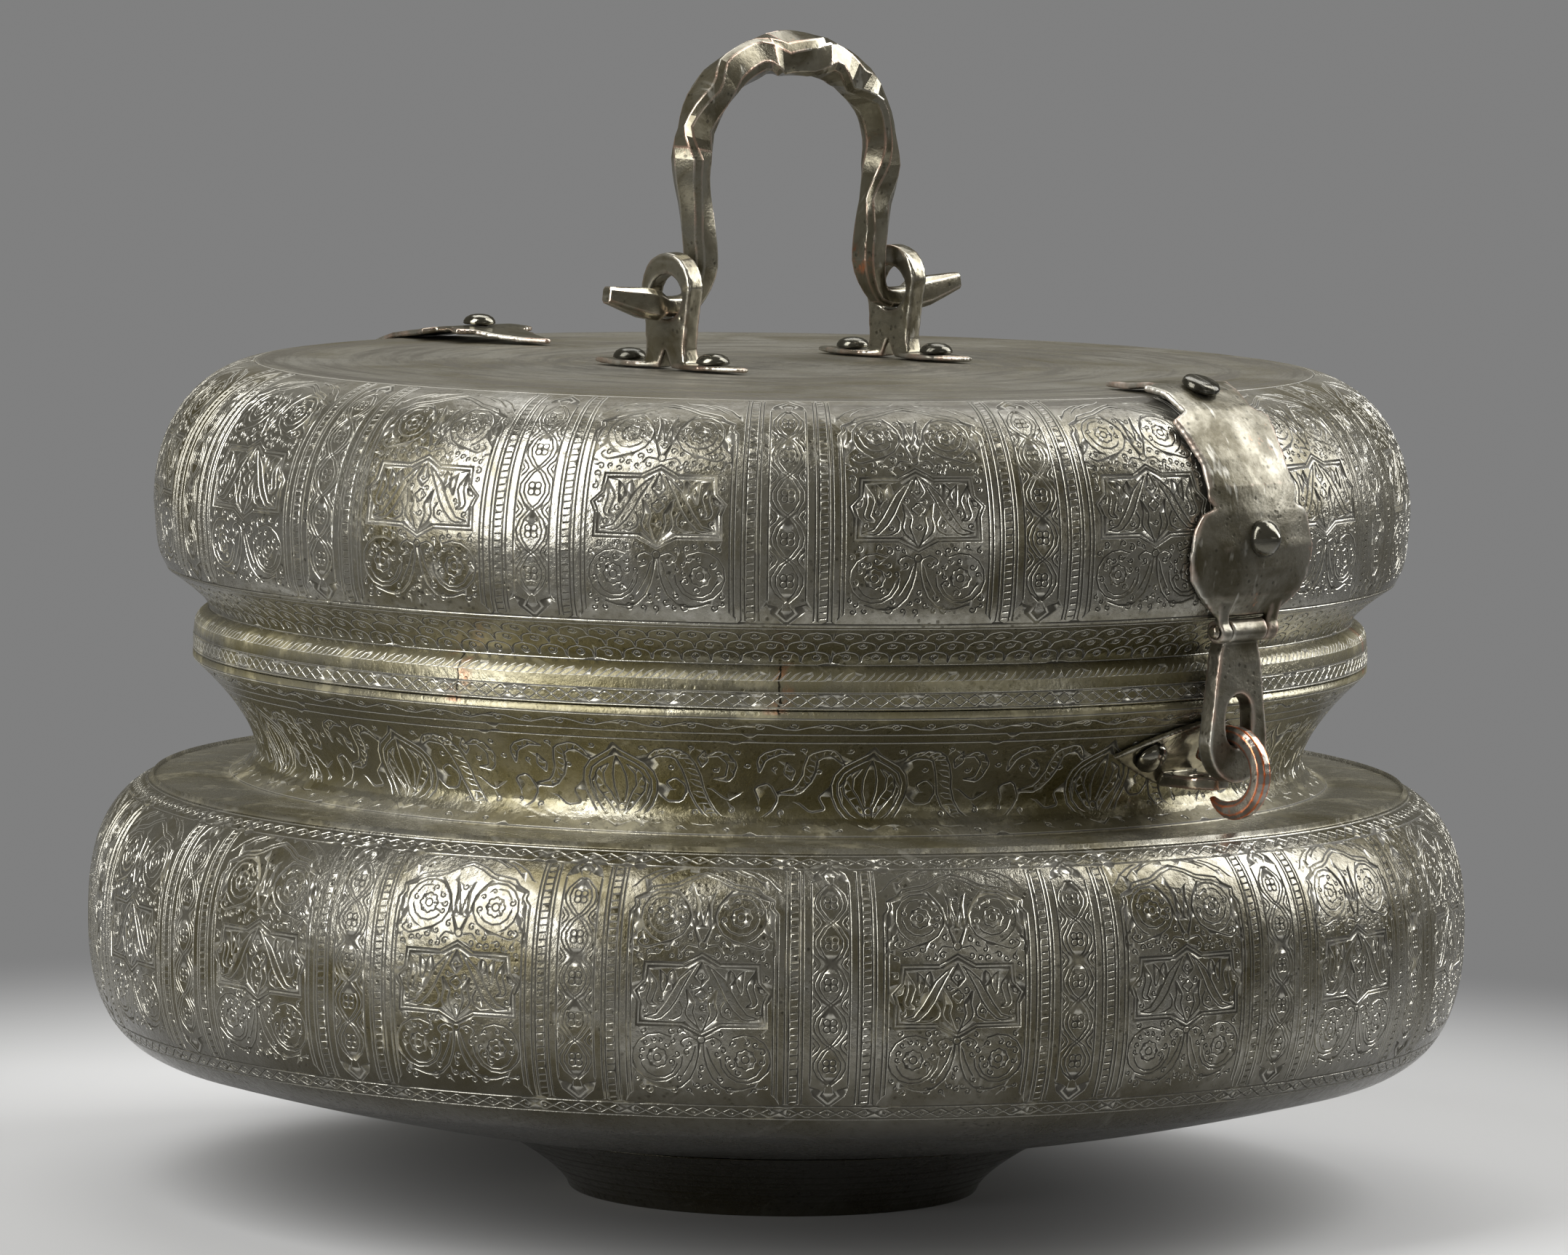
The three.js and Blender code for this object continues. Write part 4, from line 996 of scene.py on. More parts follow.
def drawSkirt(work, left, right, path, coveLow):
    art = Drawing()
    width, cell = right - left, (right - left) / work["cells"]
    low, high = work["hatch"]
    for y in work["lines"]:
        art.straight((left, y), (right, y), 0.26)
    for i in range(work["crosses"]):
        a, b = left + width * i / work["crosses"], left + width * (i + 1) / work["crosses"]
        art.straight((a, low), (b, high), 0.2, 1.0, 0.7)
        art.straight((a, high), (b, low), 0.2, 1.0, 0.7)
    for i in range(work["slants"]):
        x = left + width * (i + 0.2) / work["slants"]
        art.line([(x, 7.2), (x + 0.6, 7.9), (x + 1.4, 8.6)], 0.22, 0.6)
    for y in (coveLow - 0.6, path.length - 0.8):
        art.straight((left, y), (right, y), 0.26)
    for row in range(work["rows"]):
        y = coveLow + 1.7 + work["rowRise"] * row
        for i in range(work["cells"] + 1):
            x = left + cell * (i + 0.5 * ((row + 1) % 2))
            if x > right + 0.1:
                continue
            arch = [
                (x - 0.49 * cell, y - 1.4), (x - 0.4 * cell, y + 0.9), (x, y + 2.1),
                (x + 0.4 * cell, y + 0.9), (x + 0.49 * cell, y - 1.4),
            ]
            # a cell on the sector's side is drawn as two halves
            if abs(x - left) < 0.1:
                art.curve([(left, y + 2.1), *arch[3:]], 0.26)
            elif abs(x - right) < 0.1:
                art.curve([*arch[:2], (right, y + 2.1)], 0.26)
            else:
                art.curve(arch, 0.26)
                art.ring(x, y, 0.45, 0.26, start=40 * i, sweep=500, grow=0.75)
    return art


skirtScale = lidForm["rim"] / lidForm["radius"]
skirtLeft, skirtRight = -lidCut["panelHalf"] * skirtScale, (lidSector - lidCut["panelHalf"]) * skirtScale
coveLow = skirtPath.alongAt(lidForm["z"] + lidForm["collarRise"])
art = drawSkirt(skirtWork, skirtLeft, skirtRight, skirtPath, coveLow)
lidDivisions = sum(lidCut["steps"].values())
tile = engraved(art, skirtLeft, skirtRight, skirtPath.length, skirtWork["ground"], lidDivisions)
lidSteps = lidForm["sectors"] * lidDivisions
lidStart = lidPhase + skirtLeft / lidForm["rim"]
r, z = domePath.at(lidCut["height"])[:2]
topRings = [(r * (1 - i / skirtWork["topRings"]), z) for i in range(skirtWork["topRings"])] + [(0, z)]
wallPoints = skirtPath.points[8:] + domePath.points[1:]
wallOutward = skirtPath.outward[8:] + domePath.outward[1:]
inside = [
    (0, z - lidForm["wall"]), *inset(wallPoints, wallOutward, lidForm["wall"])[::-3],
    (lidForm["collar"] - lidForm["wall"], lidForm["z"] + lidForm["band"]),
    (lidForm["rim"] - skirtWork["lip"], lidForm["z"]), (lidForm["rim"], lidForm["z"]),
]
lidPlain = plainTurned("lid_plain", [spun(line, lidSteps, lidStart) for line in (topRings, inside)])
lid = ringPiece(
    "lid_shell", tile, skirtPath, lidForm["rim"], lidPhase, lidForm,
    depth=skirtWork["depth"], plain=lidPlain, crustAndSheen=skirtWork["crustAndSheen"],
)
dress(lid, "lid_side", ["lid"])

# Bowl: dish, belly with its panels, plain shoulder, bead and flaring neck
bowlForm = {
    "name": "bowl", "floor": 12.0, "dishDepth": 21.5, "dishPower": 1.9, "belly": 171.5, "bulge": 26.0,
    "rise": 35.0, "power": 2.5, "drop": 0.5, "roll": 137.0, "rollSize": 1.9, "neck": 130.0,
    "neckLow": 6.0, "neckHeight": 31.0, "neckFlare": 1.6, "rim": 146.0, "rimEdge": 1.8, "rimLip": 2.4,
    "wall": 1.6, "tileLow": 40.2, "ropeLow": 98.9, "tileHigh": 101.7, "sectors": 18,
    "columnAngle": -131.2, "grooveDepth": 0.36, "waver": 0.0002, "waverScale": 36.0, "seed": 8.0,
}


def bowlPaths(form):
    bellyZ = form["floor"] + form["dishDepth"] + form["rise"]
    shoulderZ = bellyZ + form["rise"] - form["drop"]
    rimZ = shoulderZ + form["neckHeight"]
    rim, roll, throat, size = form["rim"], form["roll"], form["neck"], form["rollSize"]
    curve = superArc(form["belly"], bellyZ, form["bulge"], form["rise"], form["power"], -68, 72, 140)
    footR, footZ = curve[0]
    dishRise = footZ - form["floor"]
    dish = [(footR * i / 40, form["floor"] + dishRise * (i / 40) ** form["dishPower"]) for i in range(40)]
    low = next(i for i, (r, z) in enumerate(curve) if z > form["tileLow"])
    high = next(i for i, (r, z) in enumerate(curve) if z > form["tileHigh"])
    under = dish + curve[:low + 1]
    shoulder = smoothLine([curve[high], curve[-1], (roll + 8, shoulderZ + 0.1), (roll, shoulderZ)], step=2.0)
    neckZ = shoulderZ + form["neckLow"]
    bead = smoothLine([
        (roll, shoulderZ), (roll - 0.4 * size, shoulderZ + 0.5 * size),
        (roll - 1.4 * size, shoulderZ + 1.0 * size),
        (throat + 0.9 * size, shoulderZ + 1.8 * size), (throat, neckZ),
    ])
    neckRise = rimZ - form["rimEdge"] - neckZ
    neck = bead + [
        (throat + (rim - throat) * (i / 40) ** form["neckFlare"], neckZ + neckRise * (i / 40))
        for i in range(1, 41)
    ]
    neck += [(rim + 0.1, rimZ - form["rimEdge"] * 0.6), (rim, rimZ)]
    inside = [(rim - form["rimLip"], rimZ)]
    inside += [(r - form["wall"], z - 0.4) for r, z in neck[-3:len(bead):-2]]
    for line in (shoulder[::-1], curve[::-4], dish[::-2]):
        path = WallPath(line[::-1])
        inside += inset(path.points, path.outward, form["wall"])[::-1]
    inside.append((0, form["floor"] + form["wall"]))
    return under, WallPath(curve[low:high + 1]), shoulder, WallPath(neck), inside


under, bellyPath, shoulder, neckPath, bowlInside = bowlPaths(bowlForm)
bowlSector = 2 * math.pi * bowlForm["belly"] / bowlForm["sectors"]
bellyTop, bellyHeight = bellyPath.alongAt(bowlForm["ropeLow"]), bellyPath.length
bowlPhase = math.radians(bowlForm["columnAngle"]) - (bowlSector / 2) / bowlForm["belly"]
bowlPanel = dict(
    panelWork, half=17.6, archFoot=45.0, archTop=55.6,
    topY=44.2, lowY=11.0, cartoucheLow=18.6, cartoucheHigh=33.4,
)
bowlColumn = dict(columnWork, first=9.6, link=9.6)
bowlCut = {
    "panelHalf": 18.4, "steps": {"panels": 8, "columns": 4}, "height": bellyHeight, "lift": 6.0,
    "lines": (0.9, 4.9, bellyTop, bellyHeight - 0.8), "ropes": (2.9, (bellyTop + bellyHeight - 0.8) / 2),
    "ropeSwing": 1.25, "twists": {"panels": 8, "columns": 5},
    "fillet": 8.5, "filletSpan": (5.6, bellyTop - 0.6), "ground": 2.4,
}
for piece in wallPieces(bowlForm, bowlCut, bellyPath, bowlForm["belly"], bowlPhase, bowlPanel, bowlColumn):
    dress(piece, "bowl_side", ["bowl"])

# Neck frieze: leaf medallions joined by long hatched leaves, and a running vine under the rim
# the neck's crust marks are painted highlight: a pale sheen at the neck's base and on the rim's flare; the
# shoulder keys paint the same sheen on the bowl's shoulder
neckWork = {
    "repeats": 14, "divisions": 16, "angle": -139, "frieze": 125.4, "vineLow": 127.6,
    "vineHigh": 132.0, "twists": 4, "heart": 13, "curls": 26, "clear": 2.1, "seed": 21,
    "ground": 2.3, "depth": 0.28, "crustAndSheen": ((0.75, (-2, -1, 5, 11)), (0.9, (36.0, 37.5, 41, 42))),
    "shoulderSheen": 0.45, "shoulderSheenAt": (99, 101.5, 105, 107), "sheenFrom": 0.131,
}


def drawNeck(work, left, right, path):
    art = Drawing()
    width, middle = right - left, (left + right) / 2
    top = path.alongAt(work["frieze"])
    low, high = path.alongAt(work["vineLow"]), path.alongAt(work["vineHigh"])
    for y in (0.8, top + 0.3, low, high):
        art.straight((left, y), (right, y), 0.27)
    motif = Drawing()

    def halfMotif():
        medallion = ((0, 12.2), (-2.0, 9.4), (-7.4, 5.4), (-9.0, 0), (-6.6, -6), (-2.2, -9.6), (0, -11.4))
        for size in (1.0, 0.84):
            motif.curve([(x * size, work["heart"] + y * size) for x, y in medallion], 0.33)
        motif.blade([(-0.6, 5.4), (-2.6, 9.4), (-4.9, 12.6), (-4.6, 16.2), (-2.2, 18.6)], 2.2, 6, 0.28)
        motif.curve([(-0.9, 9.6), (-1.7, 13.4), (-1.2, 17.4), (0, 21.0)], 0.3)
        motif.curve([(-6.4, 11.2), (-7.0, 13.4), (-5.9, 15.2)], 0.26)

    motif.mirrored(halfMotif)
    motif.ring(0, 7.6, 0.9, 0.26)
    # the leaves that run from one medallion to the next
    spine = [(6.4, 19.4), (10.2, 22.6), (15.0, 21.8), (17.2, 16.6), (18.6, 10.6), (22.6, 5.6), (27.6, 4.6)]
    motif.blade(spine, 3.6, 16, 0.34)
    motif.curve([
        (8.8, 12.2), (11.2, 9.4), (14.6, 9.8), (15.6, 13.0), (13.4, 15.2), (11.2, 14.0), (12.2, 12.2),
    ], 0.32)
    motif.curve([(5.2, 5.6), (9.2, 3.4), (14.2, 4.6), (18.2, 3.2), (21.6, 3.4)], 0.34)
    motif.blade([(20.4, 21.6), (24.2, 22.6), (26.6, 19.4), (25.4, 15.6), (22.2, 15.4)], 2.0, 5, 0.3)
    motif.curve([(21.8, 12.6), (25.2, 10.2), (28.0, 11.6)], 0.3)
    motif.leaf((19.6, 18.6), (20.6, 23.6), 1.1, 3)
    spine = [(-6.2, 19.8), (-9.6, 23.4), (-13.6, 21.6), (-14.4, 16.4), (-17.2, 12.6), (-21.6, 12.0)]
    motif.blade(spine, 2.8, 11, 0.34)
    motif.curve([
        (-27.6, 4.8), (-23.6, 6.8), (-21.4, 10.6), (-23.6, 14.2), (-26.6, 13.0), (-25.8, 10.4),
    ], 0.34)
    motif.curve([(-6.0, 5.8), (-10.6, 3.6), (-14.6, 5.6), (-18.6, 4.2), (-22.0, 3.2)], 0.34)
    motif.curve([(-9.2, 13.4), (-11.6, 11.0), (-10.4, 8.2), (-13.6, 7.6), (-16.2, 9.4)], 0.32)
    motif.blade([(-17.6, 23.0), (-21.2, 23.8), (-24.8, 21.4), (-25.6, 17.4)], 2.0, 6, 0.3)
    motif.leaf((-18.2, 15.4), (-19.4, 20.4), 1.2, 3)
    for x, y in ((12.6, 18.2), (-12.0, 17.8), (28.0, 23.2), (-28.2, 19.2), (17.6, 7.0)):
        motif.ring(x, y, 0.55, 0.24)
    art.moved(motif, middle, 1.2, (top - 1.6) / 26)
    art.fillCurls((left + 2, 3, right - 2, top - 1.5), work["curls"], work["clear"], work["seed"])
    # vine
    centre, count, steps = (low + high) / 2, work["twists"], strokeRules["waveSteps"]
    art.line([
        (left + width * i / (steps * count), centre + 1.15 * math.sin(2 * math.pi * i / steps))
        for i in range(steps * count + 1)
    ], 0.28)
    for i in range(2 * count):
        hand = 1 if i % 2 == 0 else -1
        x = left + width * (i + 0.52) / (2 * count)
        art.ring(x, centre - 0.3 * hand, 0.35, 0.25, start=90 * hand, sweep=420 * hand, grow=0.85)
    return art


neckSector = 2 * math.pi * bowlForm["neck"] / neckWork["repeats"]
art = drawNeck(neckWork, 0.0, neckSector, neckPath)
tile = engraved(art, 0.0, neckSector, neckPath.length, neckWork["ground"], neckWork["divisions"])
neckSteps, neckPhase = neckWork["repeats"] * neckWork["divisions"], math.radians(neckWork["angle"])
bowlSteps = bowlForm["sectors"] * sum(bowlCut["steps"].values())
bowlPlain = plainTurned("bowl_plain", [
    spun(under, bowlSteps, bowlPhase - bowlCut["panelHalf"] / bowlForm["belly"]),
    spun(shoulder, neckSteps, neckPhase), spun([neckPath.points[-1], *bowlInside], neckSteps, neckPhase),
])
# painted highlight: a pale sheen on the bowl's shoulder round the neck's base, laid on as crust
outer = [neckWork["shoulderSheen"] * (v.co.xy.length > neckWork["sheenFrom"]) for v in bowlPlain.data.vertices]
setValues(bowlPlain.data, "crustAndSheen", [
    pale * between(v.co.z / mm, neckWork["shoulderSheenAt"]) for pale, v in zip(outer, bowlPlain.data.vertices)
])
bowl = ringPiece(
    "bowl_shell", tile, neckPath, bowlForm["neck"], neckPhase, bowlForm,
    neckWork["repeats"], neckWork["depth"], bowlPlain, neckWork["crustAndSheen"],
)
dress(bowl, "bowl_side", ["bowl"])

# Foot: flared ring with fine turning lines
footForm = {
    "radius": 51.2, "ring": 4.4, "flange": 74.0, "seat": 11.0, "curl": 1.5, "lines": 9,
    "groove": 0.22, "gap": 0.3, "dishReach": 157.42, "dishTop": 35.56, "steps": 144,
}


def footOutline(form):
    def underside(r):
        rise = form["dishTop"] - bowlForm["floor"]
        return bowlForm["floor"] + rise * (r / form["dishReach"]) ** bowlForm["dishPower"] - form["gap"]

    inner, reach = form["radius"] - form["ring"], form["flange"] - form["seat"]
    top, innerTop = underside(form["flange"]), underside(reach)
    outer = []
    for i in range(61):
        f = i / 60
        groove = form["groove"] * max(0.0, math.cos(2 * math.pi * form["lines"] * f)) ** 6
        spread = (form["flange"] - form["radius"]) * f ** form["curl"]
        outer.append((form["radius"] + spread - groove, top * f))
    back = [
        (inner + (reach - inner) * (i / 20) ** form["curl"], innerTop * i / 20) for i in range(20, -1, -1)
    ]
    return outer + back + [outer[0]]


foot = plainTurned("foot_ring", [spun(footOutline(footForm), footForm["steps"])])
foot.data.materials.append(tinned)
scene.collection.objects.link(foot)
dress(foot, "bowl_side", ["foot"])

# Forged fittings: the frame's solid, rounded off and hammered
bailEye = {"body": "lid_side", "voxel": 0.36, "rounds": 12, "dent": 0.3, "mark": 5.0, "web": True}
fittings = {
    "bail_eye_left": bailEye,
    "bail_eye_right": bailEye,
    "hasp": {"body": "hasp_strap", "voxel": 0.36, "rounds": 3, "dent": 0.25, "mark": 5.0, "metal": haspMetal},
    "hasp_ring": {
        "body": "ring", "voxel": 0.26, "rounds": 2, "dent": 0.18, "mark": 4.0,
        "metal": wornRing, "slot": "worn_copper",
    },
    "hasp_plate": {
        "body": "lid_side", "voxel": 0.42, "rounds": 5, "dent": 0.4, "mark": 8.0, "metal": haspMetal,
        "bulge": 2.2, "bulgeAt": (154, 166, 186, 203),
        "across": 17, "widen": 0.2, "widenAt": (151, 160, 178, 200),
    },
    "hinge_lid_strap": {"body": "lid_side", "voxel": 0.46, "rounds": 5, "dent": 0.3, "mark": 8.0},
    "hinge_bowl_leaf": {"body": "bowl_side", "voxel": 0.4, "rounds": 3, "dent": 0.12, "mark": 5.0},
    "staple_lug": {"body": "bowl_side", "voxel": 0.36, "rounds": 3, "dent": 0.12, "mark": 4.0},
    "hinge_pin": {"body": "bowl_side", "voxel": 0.3, "rounds": 3, "dent": 0.06, "mark": 3.0},
    "hasp_pin": {"body": "lid_side", "voxel": 0.24, "rounds": 3, "dent": 0.05, "mark": 2.0},
}
hammer = {"deepest": 0.7, "level": 0.45, "wave": 0.4, "waveSize": 2.4, "edgeGain": 9, "edgeLoss": 0.12}
# cheeks that carry an eye's round head down into its stem, one on each side
cheek = {"half": 2.4, "below": 8.5, "outline": (
    (8.3, 0), (8.0, -3), (7.2, -9), (6.6, -15), (5.0, -15.5), (5.4, -9), (6.0, -5.4),
)}


def addCheeks(source, node):
    low, high = (Vector(corner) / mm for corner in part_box(node))
    middle, head = (low + high) / 2, high.z - cheek["below"]
    for side in (-1, 1):
        left, right = (
            [source.verts.new((x * mm, side * y * mm, (head + z) * mm)) for y, z in cheek["outline"]]
            for x in (middle.x - cheek["half"], middle.x + cheek["half"])
        )
        faces = [source.faces.new(left), source.faces.new(right[::-1])]
        for a, b, c, d in zip(left, right, right[1:] + right[:1], left[1:] + left[:1]):
            faces.append(source.faces.new((a, b, c, d)))
        bmesh.ops.recalc_face_normals(source, faces=faces)


# the plate stands off the wall in the middle and spreads at its lower lobe
def plateBulge(place, work):
    x, z = place.x / mm, place.z / mm
    spread = work["widen"] * between(z, work["widenAt"])
    rise = -work["bulge"] * between(z, work["bulgeAt"]) * max(0.0, 1 - (x / work["across"]) ** 2)
    return Vector((x * spread, rise, 0)) * mm


def forge(node, work):
    source = bmesh.new()
    source.from_mesh(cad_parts[node].data)
    bmesh.ops.remove_doubles(source, verts=source.verts, dist=0.000005)
    if work.get("web"):
        addCheeks(source, node)
    mesh = bpy.data.meshes.new(node + "_forged")
    source.to_mesh(mesh)
    source.free()
    piece = bpy.data.objects.new(node + "_forged", mesh)
    scene.collection.objects.link(piece)
    skin = piece.modifiers.new("skin", "REMESH")
    skin.mode = "VOXEL"
    skin.voxel_size = work["voxel"] * mm
    soft = piece.modifiers.new("soft", "SMOOTH")
    soft.factor, soft.iterations = 0.5, work["rounds"]
    plain = settle(piece)
    shape = bmesh.new()
    shape.from_mesh(plain)
    shape.normal_update()
    for v in shape.verts:
        gap = noise.voronoi(v.co / (work["mark"] * mm))[0][0]
        wave = noise.noise(v.co / (work["mark"] * hammer["waveSize"] * mm))
        push = work["dent"] * (min(gap, hammer["deepest"]) - hammer["level"] + hammer["wave"] * wave)
        v.co += v.normal * push * mm
        if "bulge" in work:
            v.co += plateBulge(v.co, work)
    shape.normal_update()
    # how far a point stands out from its neighbours marks the worn edges
    bend, around = [], []
    for v in shape.verts:
        others = [e.other_vert(v) for e in v.link_edges]
        middle = sum((other.co for other in others), Vector()) / len(others)
        bend.append((v.co - middle).dot(v.normal) / (work["voxel"] * mm))
        around.append([other.index for other in others])
    for i in range(2):
        bend = [0.5 * b + 0.5 * sum(bend[j] for j in near) / len(near) for b, near in zip(bend, around)]
    shape.to_mesh(plain)
    shape.free()
    setValues(plain, "edge", [min(1.0, max(0.0, b * hammer["edgeGain"] - hammer["edgeLoss"])) for b in bend])
    plain.materials.clear()
    plain.materials.append(work.get("metal", forged))
    smoothMesh(plain)
    dress(piece, work["body"], [node])


for node, work in fittings.items():
    forge(node, work)


# Bail: a square bar drawn along its path, hammered into flat faces between stations
bailForm = {
    "axis": 221.613, "lidTop": 206.45, "lieDown": math.radians(10), "crown": 61.4, "spacing": 2.4,
    "side": [
        (62, 3.2), (53, 1.6), (43.5, 0), (35.5, 0), (32.2, 2.2), (29.8, 9), (30.9, 19.65),
        (33.4, 31.9), (32.4, 41.1), (29.1, 49.1), (21.4, 55.9), (11.0, 60.2),
    ],
    "tip": 1.75, "wedge": 3.1, "wedgeSwell": 12, "wedgeLength": 18.5, "end": 2.5, "endLength": 30,
    "legSwell": 0.16, "leg": 3.75, "arch": 4.5, "archAt": (30, 50, 90, 91), "chamfer": 0.62, "bevel": 0.34,
    "hammered": 66, "blowGap": (6.5, 11.5), "lastGap": 12, "leastTwist": 0.15, "twist": 0.62,
    "squeeze": (0.92, 1.12), "dent": 0.22, "dentSize": 95, "archDent": 2.2, "tipDent": 0.6,
    "legsFrom": (228, 240, 400, 401), "archFrom": (255, 270, 400, 401), "seed": 9,
    "wedgeFrom": 0.0432, "tipFrom": 0.046, "upright": 1.2, "across": 0.85, "tipFoot": 0.0435,
    "tipSlope": 0.173, "flatFrom": 0.03, "ridge": 0.32, "crease": 0.2, "worn": 0.6,
}


def makeBarTree():
    tree, given, out = geometryTree("Hammered bar", [
        ("Profile", "NodeSocketObject", None), ("Material", "NodeSocketMaterial", None),
    ])
    lean, half = named(tree, "lean"), named(tree, "half")
    path = addNode(tree, "GeometryNodeMeshToCurve", {"Mesh": given["Geometry"]})
    leant = addNode(tree, "GeometryNodeSetCurveTilt", {"Curve": path.outputs[0], "Tilt": lean})
    outline = addNode(tree, "GeometryNodeObjectInfo", {"Object": given["Profile"]})
    profile = addNode(tree, "GeometryNodeMeshToCurve", {"Mesh": outline.outputs["Geometry"]})
    bar = addNode(tree, "GeometryNodeCurveToMesh", {
        "Curve": leant.outputs[0], "Profile Curve": profile.outputs[0], "Scale": half, "Fill Caps": True,
    })
    real = addNode(tree, "GeometryNodeRealizeInstances", {"Geometry": bar.outputs[0]})
    return endTree(tree, real.outputs[0], given, out)


def bailStations(form):
    pick = random.Random(form["seed"])
    side = form["side"]
    whole = [(-x, z) for x, z in side] + [(0, form["crown"])] + side[::-1]
    path = WallPath(smoothLine(whole, step=0.5))
    # blows of the hammer over the arch turn and squeeze the bar, the legs keep one ridge to the front
    blows, reach = [(-form["hammered"], 0.0, 1.0)], -form["hammered"]
    while reach < form["hammered"] - form["lastGap"]:
        reach += pick.uniform(*form["blowGap"])
        turn = pick.choice((-1, 1)) * pick.uniform(form["leastTwist"], form["twist"])
        blows.append((reach, turn, pick.uniform(*form["squeeze"])))
    blows.append((form["hammered"], 0.0, 1.0))
    spots, turns, squeezes = zip(*blows)
    places, halves, leans = [], [], []
    count = round(path.length / form["spacing"])
    for i in range(count + 1):
        along = path.length * i / count
        x, z = path.at(along)[:2]
        tip = min(along, path.length - along)
        arch = between(z, form["archAt"])
        if tip < form["wedgeLength"]:
            half = form["tip"] + (form["wedge"] - form["tip"]) * min(1.0, tip / form["wedgeSwell"])
        elif tip < form["endLength"]:
            half = form["end"]
        else:
            leg = min(form["leg"], form["end"] + (tip - form["endLength"]) * form["legSwell"])
            half = leg * (1 - arch) + form["arch"] * arch
        middle = along - path.length / 2
        places.append((x * mm, 0, (form["axis"] + z) * mm))
        halves.append(half * mm * float(np.interp(middle, spots, squeezes)))
        leans.append(float(np.interp(middle, spots, turns)))
    mesh = bpy.data.meshes.new("bail path")
    mesh.from_pydata(places, [(i, i + 1) for i in range(count)], [])
    setValues(mesh, "half", halves)
    setValues(mesh, "lean", leans)
    return mesh


def dressBar(mesh, form):
    # the noise starts from the clock unless it is given a seed
    noise.seed_set(form["seed"])
    shape = bmesh.new()
    shape.from_mesh(mesh)
    axis = form["axis"] * mm
    for v in shape.verts:
        # wedge ends are broader upright than across
        if abs(v.co.x) > form["wedgeFrom"]:
            centre = axis + (abs(v.co.x) - form["tipFoot"]) * form["tipSlope"]
            v.co.z, v.co.y = centre + (v.co.z - centre) * form["upright"], v.co.y * form["across"]
        # uneven faces, more over the arch and none in the eyes
        height = v.co.z * 1000
        loose = between(height, form["legsFrom"]) * (0.5 + 0.5 * between(height, form["archFrom"]))
        rough = form["archDent"] * loose + form["tipDent"] * (abs(v.co.x) > form["tipFrom"])
        v.co += noise.noise_vector(v.co * form["dentSize"]) * form["dent"] * mm * rough
        # front and back are dressed flat, so that the bar can lie down on the lid
        rise = v.co.z - axis
        room = (form["axis"] - form["lidTop"]) * mm - rise * math.sin(form["lieDown"])
        v.co.y = max(-1.0, min(1.0, v.co.y / room)) * room if rise > form["flatFrom"] else v.co.y
    bmesh.ops.recalc_face_normals(shape, faces=shape.faces)
    mark = shape.faces.layers.float.new("edge")
    ridges = [e for e in shape.edges if len(e.link_faces) == 2 and e.calc_face_angle() > form["ridge"]]
    worn = bmesh.ops.bevel(
        shape, geom=ridges, offset=form["bevel"] * mm, offset_type="OFFSET", segments=2, profile=0.6,
        affect="EDGES", clamp_overlap=True,
    )
    for f in shape.faces:
        f.smooth = True
    for f in worn["faces"]:
        f[mark] = form["worn"]
    for e in shape.edges:
        e.smooth = len(e.link_faces) == 2 and e.calc_face_angle() < form["crease"]
    shape.to_mesh(mesh)
    shape.free()


corner = bailForm["chamfer"]
loop = [
    (1, corner), (corner, 1), (-corner, 1), (-1, corner),
    (-1, -corner), (-corner, -1), (corner, -1), (1, -corner),
]
barProfile = bpy.data.meshes.new("bar profile")
barProfile.from_pydata([(x, y, 0) for x, y in loop], [(i, (i + 1) % 8) for i in range(8)], [])
bail = grown("bail_bar", bailStations(bailForm), makeBarTree(), {
    "Profile": bpy.data.objects.new("form_bar", barProfile), "Material": forged,
})
dressBar(bail.data, bailForm)
dress(bail, "bail", ["bail_handle"])


# Rivets: turned heads and clenched tails set on their spots
def makeRivetTree():
    tree, given, out = geometryTree("Rivets on spots", [
        ("Head", "NodeSocketObject", None), ("Tail", "NodeSocketObject", None),
        ("Material", "NodeSocketMaterial", None),
    ])
    aim = named(tree, "aim", "FLOAT_VECTOR")
    turn = addNode(tree, "FunctionNodeAlignRotationToVector", {"Vector": aim}, axis="Z")
    sets = []
    for part, distance in (("Head", "seat"), ("Tail", "clench")):
        offset = vectorNode(tree, "SCALE", aim, scale=named(tree, distance))
        spots = addNode(tree, "GeometryNodeSetPosition", {"Geometry": given["Geometry"], "Offset": offset})
        form = addNode(tree, "GeometryNodeObjectInfo", {"Object": given[part]})
        copies = addNode(tree, "GeometryNodeInstanceOnPoints", {
            "Points": spots.outputs[0], "Instance": form.outputs["Geometry"], "Rotation": turn.outputs[0],
        })
        sets.append(copies.outputs[0])
    both = addNode(tree, "GeometryNodeJoinGeometry")
    for copies in sets:
        tree.links.new(copies, both.inputs[0])
    real = addNode(tree, "GeometryNodeRealizeInstances", {"Geometry": both.outputs[0]})
    soft = addNode(tree, "GeometryNodeSetShadeSmooth", {"Geometry": real.outputs[0]})
    return endTree(tree, soft.outputs[0], given, out)


